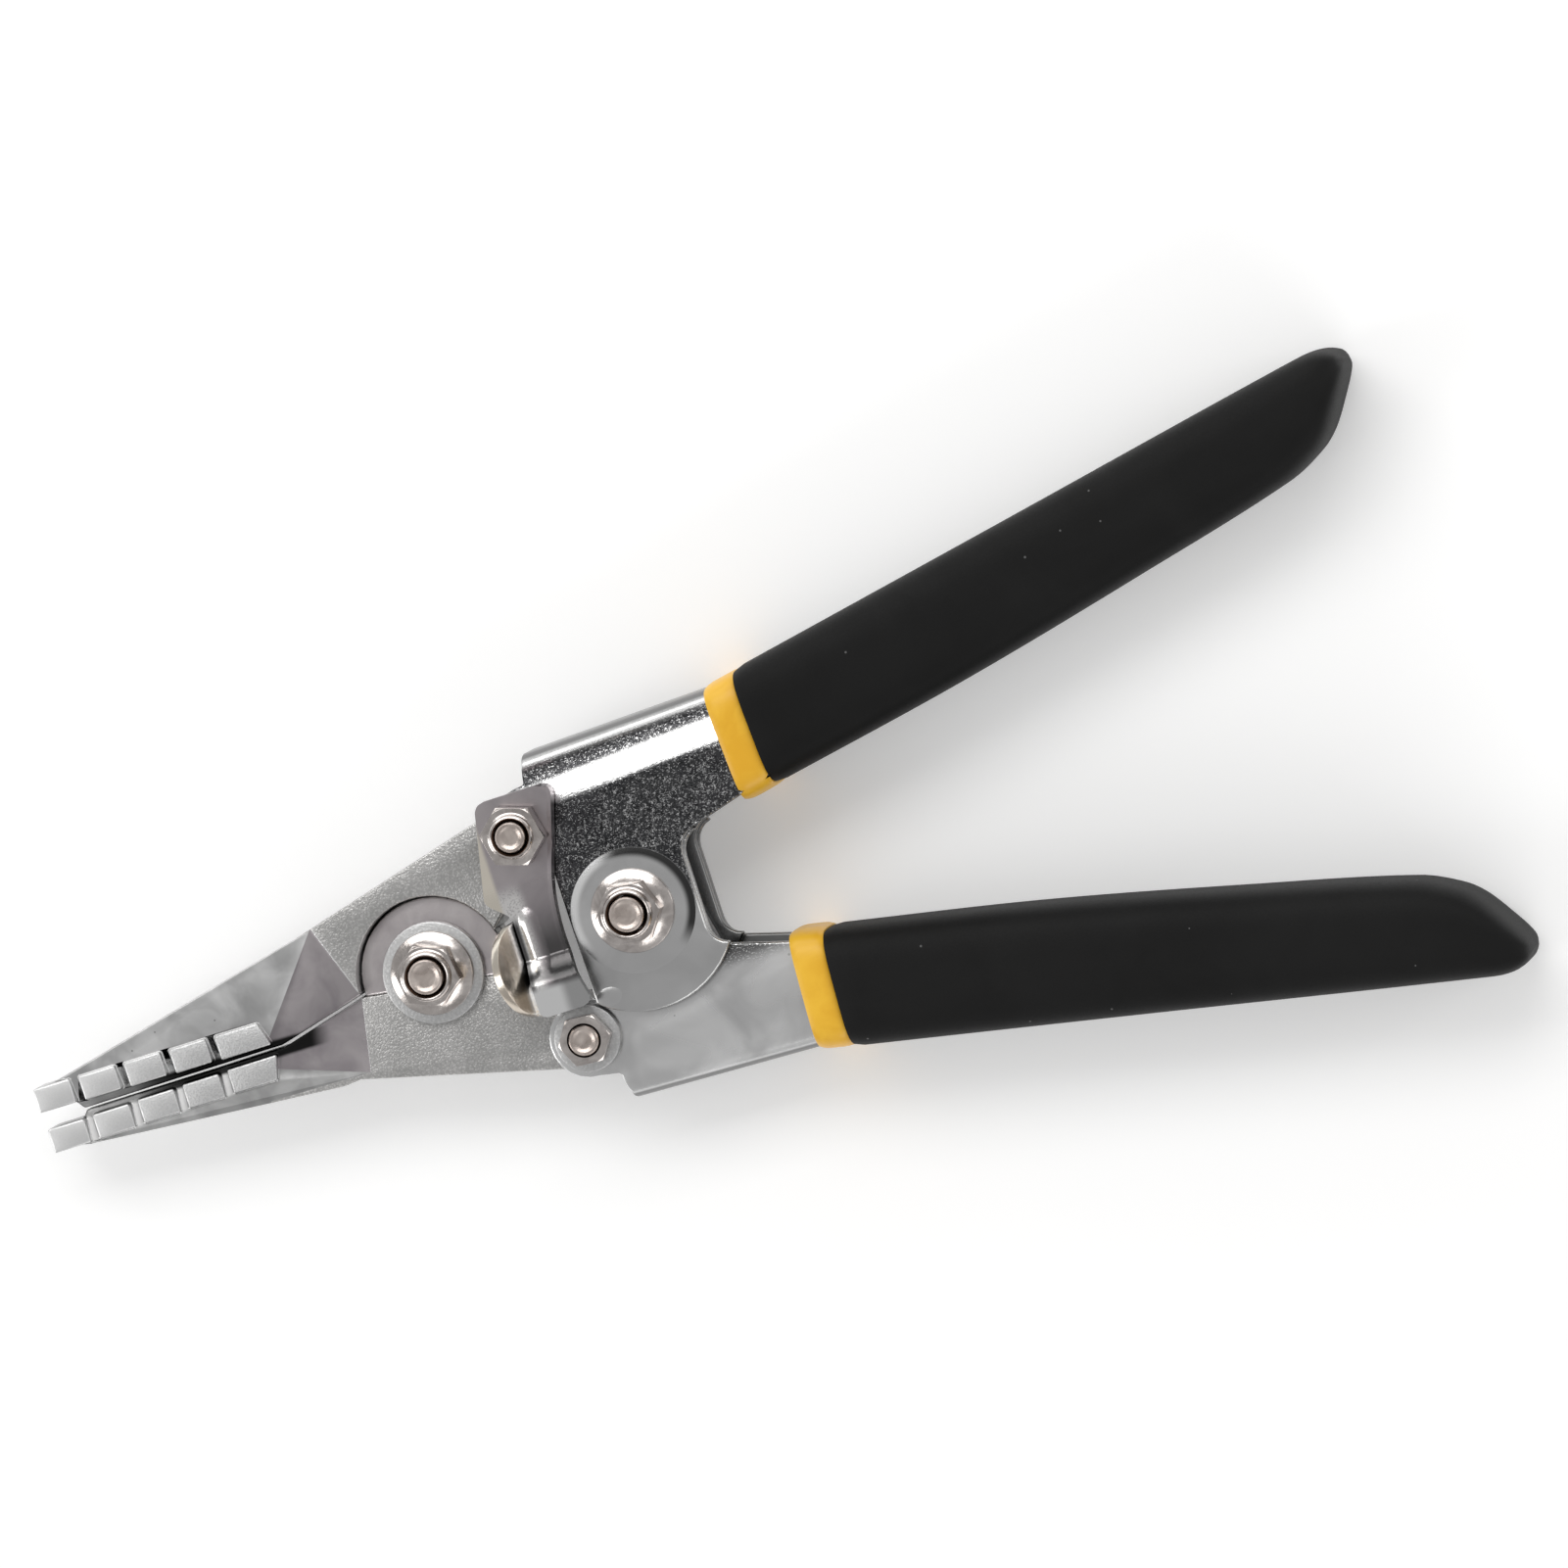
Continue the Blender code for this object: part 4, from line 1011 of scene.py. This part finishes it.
def handle_place(along, out, up, side):
    """A place in the handle's own frame; side is 1 above and -1 for the side turned over."""
    forward = Vector((math.cos(HANDLE_ANGLE), math.sin(HANDLE_ANGLE)))
    plan = GRIP_START + along * forward + out * Vector((-forward.y, forward.x))
    return Vector((plan.x, side * plan.y, MIDDLE_HEIGHT + side * up))


def leaned(along, out, share):
    """Shifts a section so that its plane lies parallel to the grip's slanted mouth."""
    lean = (MOUTH_OUTER - MOUTH_INNER) / (2 * GRIP_HALF)
    return along + share * ((MOUTH_INNER + MOUTH_OUTER) / 2 + lean * out)


def closed_tube(name, rings, round_steps, place):
    """A grid wrapped into a tube, its seam merged and its open ends filled."""
    piece = laid_grid(name, rings, round_steps, lambda u, v: place(u, 2 * math.pi * v))
    edit(piece)
    bpy.ops.mesh.remove_doubles(threshold=SAME_PLACE)
    bpy.ops.mesh.select_all(action="SELECT")
    bpy.ops.mesh.fill_holes(sides=0)
    bpy.ops.mesh.select_all(action="SELECT")
    bpy.ops.mesh.normals_make_consistent(inside=False)
    leave_edit()
    return piece


def tang_cutter(name, side, start, end, shrink):
    """The tang's room: a block that tapers on its inner side, its long outer edges rounded."""
    start_fresh()
    bpy.ops.mesh.primitive_cube_add(size=1.0)
    piece = added(name)

    def corner(at):
        out = TANG_OUTER if at.y > 0 else TANG_INNER
        if at.x > 0 and at.y < 0:
            out += shrink
        up = TANG_TOP if at.z > 0 else TANG_BOTTOM
        return handle_place(end if at.x > 0 else start, out, up, side)

    for vert in piece.data.vertices:
        vert.co = corner(vert.co)
    face_outwards(piece)
    places = [vert.co for vert in piece.data.vertices]
    mean = sum(place.y for place in places) / len(places)

    def long_outer(edge):
        first, last = (places[index] for index in edge.vertices)
        outer = side * (first.y + last.y - 2 * mean) > 10.0 * MM
        return outer and (first - last).length > 20.0 * MM

    edit_where(piece, long_outer)
    bpy.ops.mesh.bevel(offset=TANG_ROUNDING, segments=5, affect="EDGES")
    leave_edit()
    return piece


def grip(side_name, side):
    def place(u, turn):
        share = 1.0 - (1.0 - u) ** 1.6
        along = share * GRIP_END
        low, high = on_curve(INNER_SIDE + INNER_END, along), on_curve(OUTER_SIDE, along)
        full = min(1.0, max(0.0, (high - low) / FULL_DEPTH))
        thick = GRIP_HALF_THICK * (1.0 - (1.0 - full) ** 3) ** 0.45
        out, up = section_point(low * MM, high * MM, thick, turn, 4.0)
        soft = 1.0 - 0.03 * (1.0 - smooth_step(along / 1.2))
        lean = 1.0 - smooth_step(along / 60.0)
        return handle_place(leaned(along * MM, out, lean), out * soft, up * soft, side)

    piece = closed_tube(side_name + "_grip_sleeve", 110, 96, place)
    trimmed(piece, tang_cutter("tang_room", side, -6.0 * MM, 99.0 * MM, 3.4 * MM), "DIFFERENCE")
    settle(piece, 40.0)
    ride_as(piece, side_name + "_handle", "grip_black", side_name + "_grip", material=VINYL)


def collar(side_name, side):
    low, high = -GRIP_HALF - 0.2 * MM, GRIP_HALF - 0.2 * MM

    def place(u, turn):
        edge = 1.0 - min(u, 1.0 - u) * 2.0
        swell = 1.0 - 0.035 * edge**4
        out, up = section_point(low, high, COLLAR_HALF_THICK, turn, 4.6)
        along = leaned(-COLLAR_LENGTH * (1.0 - u), out, 1.0)
        return handle_place(along, out * swell, up * swell, side)

    piece = closed_tube(side_name + "_collar_ring", 22, 96, place)
    trimmed(piece, tang_cutter("tang_room", side, -14.0 * MM, 8.0 * MM, 0.0), "DIFFERENCE")
    settle(piece, 40.0)
    ride_as(piece, side_name + "_handle", "collar_yellow", side_name + "_collar", material=YELLOW)


for side_name, side in (("upper", 1), ("lower", -1)):
    collar(side_name, side)
    grip(side_name, side)


# Latch


LATCH_SHEET = 2.0 * MM
LATCH_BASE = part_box("latch")[0].z
LATCH_RISE = 2.7 * MM
LATCH_TOP_Y = 25.0 * MM
LATCH_END_Y = -12.5 * MM


def corner_inset(distance, radius):
    """How far a rounded corner pulls the side in, at a distance from the end."""
    if distance >= radius:
        return 0.0
    return radius - math.sqrt(max(0.0, radius**2 - (radius - distance) ** 2))


def latch_sides(y):
    """Left and right edge of the latch plate at a place along it."""
    hollow_x, hollow_y, hollow_r = 25.6 * MM, -0.4 * MM, 37.7 * MM
    right = hollow_x - math.sqrt(hollow_r**2 - (y - hollow_y) ** 2)
    if y > 15.0 * MM:
        right = -8.9 * MM + (y - 15.0 * MM) * 0.30
    left = -23.3 * MM + (y - 9.0 * MM) * 0.22
    if y < 9.0 * MM:
        left = -23.3 * MM + 3.7 * MM * smooth_step((9.0 * MM - y) / (4.6 * MM))
    top = LATCH_TOP_Y - y
    foot = y - LATCH_END_Y
    left += corner_inset(top, 1.6 * MM) + corner_inset(foot, 1.2 * MM)
    right -= corner_inset(top, 2.2 * MM) + corner_inset(foot, 2.0 * MM)
    return left, right


def latch_height(x, y, left, right):
    """Lower face of the latch sheet: flat, then swept up over the lower link nut, with a rib."""
    swept = LATCH_RISE * smooth_step((-2.6 * MM - y) / (5.4 * MM))
    window = smooth_step((6.5 * MM - y) / (3.0 * MM)) * smooth_step((y + 7.5 * MM) / (3.0 * MM))
    rib = 0.55 * MM * math.exp(-(((x + 17.0 * MM) / (0.9 * MM)) ** 2)) * window
    lip = 0.12 * MM * smooth_step((x - right + 0.9 * MM) / (0.9 * MM))
    lip *= smooth_step((y + 9.0 * MM) / (3.0 * MM))
    return LATCH_BASE + swept + rib + lip


def sheet_from_grid(name, columns, rows, place, thickness):
    """A formed sheet: a grid laid out by place(u, v), thickened upwards and closed."""
    piece = laid_grid(name, columns, rows, place)
    face_outwards(piece)
    if piece.data.polygons[0].normal.z < 0:
        edit(piece)
        bpy.ops.mesh.flip_normals()
        leave_edit()
    step = piece.modifiers.new("thick", "SOLIDIFY")
    step.thickness = thickness
    step.offset = 1.0
    step.use_even_offset = True
    apply_steps(piece)
    return piece


def latch_plate_place(u, v):
    y = LATCH_TOP_Y + (LATCH_END_Y - LATCH_TOP_Y) * v
    left, right = latch_sides(y)
    x = left + (right - left) * u
    return Vector((x, y, latch_height(x, y, left, right)))


TAB_HALF = 8.3 * MM
TAB_MIDDLE_Y = LATCH_END_Y + 0.2 * MM + TAB_HALF
TAB_REACH = 8.0 * MM
TAB_ROOT_X = -18.9 * MM
TAB_SHEET = 1.5 * MM
TAB_STEPS = 12


def latch_tab_place(u, v):
    """The thumb tab: a curled lens that rises from the latch's left edge."""
    y = TAB_MIDDLE_Y + TAB_HALF * (1.0 - 2.0 * v) * 0.995
    bulge = (TAB_HALF**2 + TAB_REACH**2) / (2 * TAB_REACH)
    reach = math.sqrt(max(0.0, bulge**2 - (y - TAB_MIDDLE_Y) ** 2)) - (bulge - TAB_REACH)
    length = 1.0 * MM + max(0.0, reach) * 1.02
    gone = (1.0 - u) * length
    x, z = TAB_ROOT_X, LATCH_BASE - 0.1 * MM
    for index in range(TAB_STEPS):
        way = gone * (index + 0.5) / TAB_STEPS
        angle = math.radians(52.0) * smooth_step(way / (2.6 * MM))
        angle += math.radians(10.0) * smooth_step((way - 5.0 * MM) / (3.0 * MM))
        x -= gone / TAB_STEPS * math.cos(angle)
        z += gone / TAB_STEPS * math.sin(angle)
    return Vector((x, y, z))


def latch():
    plate = sheet_from_grid("latch_plate", 44, 120, latch_plate_place, LATCH_SHEET)
    tab = sheet_from_grid("latch_tab", 24, 44, latch_tab_place, TAB_SHEET)
    start_fresh()
    bpy.ops.mesh.primitive_cylinder_add(
        vertices=48,
        radius=LINK_BORE,
        depth=20 * MM,
        location=(UPPER_LINK.x, UPPER_LINK.y, LATCH_BASE),
    )
    trimmed(plate, added("latch_drill"), "DIFFERENCE")
    for piece in (plate, tab):
        rounded_edges(piece, 0.45 * MM, 3, 50.0, True)
    whole = joined("latch_formed", [plate, tab])
    settle(whole, 40.0)
    return ride_as(whole, "latch", "latch_plating", "latch", material=LATCH_NICKEL)


latch()


# Nuts, bolts and washers


def hexagon(name, centre, radius, low, high, turn):
    """A hexagonal prism with softened edges and a chamfered top."""
    start_fresh()
    bpy.ops.mesh.primitive_cylinder_add(
        vertices=6,
        radius=radius,
        depth=high - low,
        location=(centre[0], centre[1], (low + high) / 2),
        rotation=(0.0, 0.0, math.radians(turn)),
    )
    piece = added(name)
    edge_r = radius * 0.90
    fall = (radius - edge_r) * 0.55
    chamfer = turned(
        name + "_chamfer",
        centre,
        [
            (radius + MM, low - MM),
            (radius + MM, high - fall - MM * 0.55),
            (edge_r, high + 0.002 * MM),
        ],
        96,
    )
    trimmed(piece, chamfer, "INTERSECT")
    rounded_edges(piece, 0.16 * MM, 3, 20.0, True)
    return settle(piece, 30.0)


def nut(node, name, body, centre, hex_r, flange_r, collar_r, bore, turn):
    """A hexagon nut in the room of its CAD node, with a flange and a locking collar if it has them."""
    low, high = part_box(node)
    bottom = low.z
    collar_rise = 1.1 * MM if collar_r else 0.0
    hex_top = high.z - collar_rise
    hex_bottom = bottom + (0.4 * MM if flange_r else 0.0)
    parts = [hexagon(name + "_hex", centre, hex_r, hex_bottom, hex_top, turn)]
    if flange_r:
        parts.append(
            turned(
                name + "_flange",
                centre,
                [
                    (flange_r - 0.15 * MM, bottom),
                    (flange_r, bottom + 0.2 * MM),
                    (flange_r, bottom + 0.55 * MM),
                    (flange_r - 0.12 * MM, bottom + 0.8 * MM),
                    (flange_r - 0.5 * MM, bottom + 0.95 * MM),
                    (flange_r - 1.3 * MM, bottom + 1.2 * MM),
                    (flange_r - 2.3 * MM, bottom + 1.9 * MM),
                    (bore, bottom + 1.9 * MM),
                ],
            )
        )
    if collar_r:
        parts.append(
            turned(
                name + "_collar",
                centre,
                [
                    (collar_r + 0.35 * MM, hex_top - 0.3 * MM),
                    (collar_r + 0.35 * MM, hex_top + 0.02 * MM),
                    (collar_r + 0.10 * MM, hex_top + 0.12 * MM),
                    (collar_r, hex_top + 0.40 * MM),
                    (collar_r - 0.04 * MM, high.z - 0.30 * MM),
                    (collar_r - 0.20 * MM, high.z - 0.08 * MM),
                    (collar_r - 0.42 * MM, high.z),
                    (bore + 0.30 * MM, high.z - 0.05 * MM),
                    (bore, high.z - 0.45 * MM),
                ],
            )
        )
    whole = parts[0]
    for part in parts[1:]:
        trimmed(whole, part, "UNION")
    drill = turned(name + "_drill", centre, [(bore, bottom - MM), (bore, high.z + MM)])
    trimmed(whole, drill, "DIFFERENCE")
    whole.name = name
    settle(whole, 30.0)
    ride_as(whole, body, "fastener_plating", node, material=NUT_NICKEL)
    # Painted shade: the faces close round the bore take the dark bore material
    whole.data.materials.append(BORE_SHADE)
    for face in whole.data.polygons:
        corners = [whole.data.vertices[index].co for index in face.vertices]
        reach = max(math.hypot(place.x - centre[0], place.y - centre[1]) for place in corners)
        if reach < bore + 0.36 * MM:
            face.material_index = 1


def bolt(node, name, body, centre, radius, head_r):
    """A bolt in the room of its CAD node: a round head behind and a dished end in front."""
    low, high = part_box(node)
    head_top = bolt_head_top(node)
    profile = [
        (head_r - 0.9 * MM, low.z),
        (head_r - 0.35 * MM, low.z + 0.12 * MM),
        (head_r - 0.08 * MM, low.z + 0.42 * MM),
        (head_r, low.z + 0.85 * MM),
        (head_r, head_top - 0.15 * MM),
        (head_r - 0.15 * MM, head_top),
        (radius, head_top),
        (radius, high.z - 0.45 * MM),
        (radius - 0.10 * MM, high.z - 0.18 * MM),
        (radius - 0.28 * MM, high.z - 0.03 * MM),
        (radius - 0.50 * MM, high.z),
        (radius - 0.75 * MM, high.z - 0.08 * MM),
        (radius - 1.05 * MM, high.z - 0.26 * MM),
        (radius - 1.45 * MM, high.z - 0.32 * MM),
        (0.55 * MM, high.z - 0.30 * MM),
        (0.15 * MM, high.z - 0.28 * MM),
    ]
    return ride_as(
        turned(name, centre, profile), body, "fastener_plating", node, material=BOLT_NICKEL
    )


def bolt_head_top(node):
    """Height where a CAD bolt's head ends and its shank begins."""
    low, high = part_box(node)
    wide = (high.x - low.x) / 2 * 0.93
    middle = (low + high) / 2
    places = [vert.co for vert in nodes[node].data.vertices]
    return max(at.z for at in places if (at.xy - middle.xy).length > wide)


def washer(node, name, body, centre, bore):
    low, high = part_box(node)
    outer = (high.x - low.x) / 2
    soft = min(0.28 * MM, (high.z - low.z) / 4)
    profile = [
        (bore, low.z + soft),
        (bore + soft, low.z),
        (outer - soft * 1.4, low.z),
        (outer, low.z + soft * 1.4),
        (outer, high.z - soft * 1.4),
        (outer - soft * 0.4, high.z - soft * 0.4),
        (outer - soft * 1.4, high.z),
        (bore + soft, high.z),
        (bore, high.z - soft),
    ]
    piece = turned(name, centre, profile, 96, bored=True)
    return ride_as(piece, body, "washer_steel", node, material=WASHER)


# Hexagon, flange, collar and bore radius of each kind of nut; shank and head radius of a bolt
PIVOT_NUT = (5.6 * MM, 7.1 * MM, 4.2 * MM, PIVOT_BORE)
LINK_LOCKNUT = (5.5 * MM, 0.0, 3.7 * MM, LINK_BORE)
LINK_PLAIN_NUT = (4.6 * MM, 0.0, 0.0, LINK_BORE)
PIVOT_BOLT = (3.0 * MM, 6.0 * MM)
LINK_BOLT = (2.6 * MM, 5.0 * MM)

nut("jaw_pivot_nut", "jaw_pivot_locknut", "lower_jaw", JAW_PIVOT, *PIVOT_NUT, 8.0)
nut("handle_pivot_nut", "handle_pivot_locknut", "lower_handle", HANDLE_PIVOT, *PIVOT_NUT, 22.0)
nut("upper_link_nut", "upper_link_locknut", "upper_handle", UPPER_LINK, *LINK_LOCKNUT, 12.0)
nut("lower_link_nut", "lower_link_plain_nut", "lower_handle", LOWER_LINK, *LINK_PLAIN_NUT, 26.0)
bolt("jaw_pivot_bolt", "jaw_pivot_screw", "lower_jaw", JAW_PIVOT, *PIVOT_BOLT)
bolt("handle_pivot_bolt", "handle_pivot_screw", "lower_handle", HANDLE_PIVOT, *PIVOT_BOLT)
bolt("upper_link_bolt", "upper_link_screw", "upper_handle", UPPER_LINK, *LINK_BOLT)
bolt("lower_link_bolt", "lower_link_screw", "lower_handle", LOWER_LINK, *LINK_BOLT)
washer("jaw_pivot_washer", "jaw_pivot_front_washer", "lower_jaw", JAW_PIVOT, PIVOT_BORE)
washer("jaw_pivot_back_washer", "jaw_pivot_rear_washer", "lower_jaw", JAW_PIVOT, PIVOT_BORE)
washer("lower_link_washer", "lower_link_flat_washer", "lower_handle", LOWER_LINK, LINK_BORE)

for node, material in (("handle_pivot_bush", WASHER), ("handle_spring", SPRING_WIRE)):
    for slot in nodes[node].material_slots:
        slot.material = material


# Studio: floor, lights and camera


def floor():
    start_fresh()
    bpy.ops.mesh.primitive_plane_add(size=6.0, location=(0.0, 0.0, cad_box[0].z - 0.05 * MM))
    piece = added("studio_floor")
    made = Finish("studio_floor_paper", 0.0, 0.9)
    paper = made.noise(made.place, 0.4, 2.0)
    made.set(Base_Color=made.mix(paper, grey(0.93), grey(0.96)))
    made.set(Emission_Color=grey(1.0), Emission_Strength=0.20, Specular_IOR_Level=0.1)
    piece.data.materials.append(made.material)
    bpy.ops.object.transform_apply(location=True, rotation=True, scale=True)


def softbox(name, toward, distance, wide, tall, radiance):
    """A rectangular light aimed at the tool, placed in a direction from its middle."""
    aim = Vector((0.01, 0.0, MIDDLE_HEIGHT))
    away = Vector(toward).normalized()
    light = bpy.data.lights.new(name, "AREA")
    light.shape = "RECTANGLE"
    light.size = wide
    light.size_y = tall
    light.energy = radiance * math.pi * wide * tall
    light.color = (1.0, 0.995, 0.985)
    lamp = bpy.data.objects.new(name, light)
    bpy.context.scene.collection.objects.link(lamp)
    lamp.location = aim + away * distance
    lamp.rotation_mode = "QUATERNION"
    lamp.rotation_quaternion = away.to_track_quat("Z", "Y")
    lamp.visible_camera = False


def studio():
    floor()
    softbox("upper_softbox", (0.0, 0.62, 0.80), 1.2, 1.3, 0.5, 2.6)
    softbox("low_softbox", (-0.15, 0.95, 0.30), 1.3, 1.3, 0.35, 2.2)
    softbox("left_softbox", (-0.95, -0.10, 0.50), 1.3, 0.45, 1.0, 2.4)
    softbox("front_softbox", (0.25, -0.90, 0.55), 1.3, 1.1, 0.45, 1.9)
    softbox("right_softbox", (0.95, 0.05, 0.42), 1.3, 0.35, 0.9, 1.6)
    world = bpy.data.worlds.new("studio_air")
    world.use_nodes = True
    air = world.node_tree.nodes["Background"]
    air.inputs["Color"].default_value = grey(1.0)
    air.inputs["Strength"].default_value = 0.44
    bpy.context.scene.world = world
    view = bpy.context.scene.view_settings
    view.view_transform = "Standard"
    view.look = "None"
    view.exposure = 0.0


def camera():
    """A long lens over the tool, a little towards its handles, turned so that +X climbs."""
    target = Vector((30.9 * MM, 12.5 * MM, 20.0 * MM))
    away = Vector((0.186, 0.045, 1.0)).normalized()
    frame_width = 0.2615
    lens = 300.0
    sensor = 36.0
    climb = math.radians(17.6)
    level = (Vector((1.0, 0.0, 0.0)) - away.x * away).normalized()
    side = away.cross(level)
    right = math.cos(climb) * level - math.sin(climb) * side
    up = math.sin(climb) * level + math.cos(climb) * side
    data = bpy.data.cameras.new("studio_camera")
    data.lens = lens
    data.sensor_width = sensor
    data.clip_start = 0.01
    data.clip_end = 20.0
    view = bpy.data.objects.new("studio_camera", data)
    bpy.context.scene.collection.objects.link(view)
    turn = Matrix((right, up, away)).transposed()
    view.rotation_mode = "QUATERNION"
    view.rotation_quaternion = turn.to_quaternion()
    view.location = target + away * (frame_width * lens / sensor)
    bpy.context.scene.camera = view


studio()
camera()

only(bpy.data.objects["studio_floor"])
bpy.ops.object.select_all(action="DESELECT")
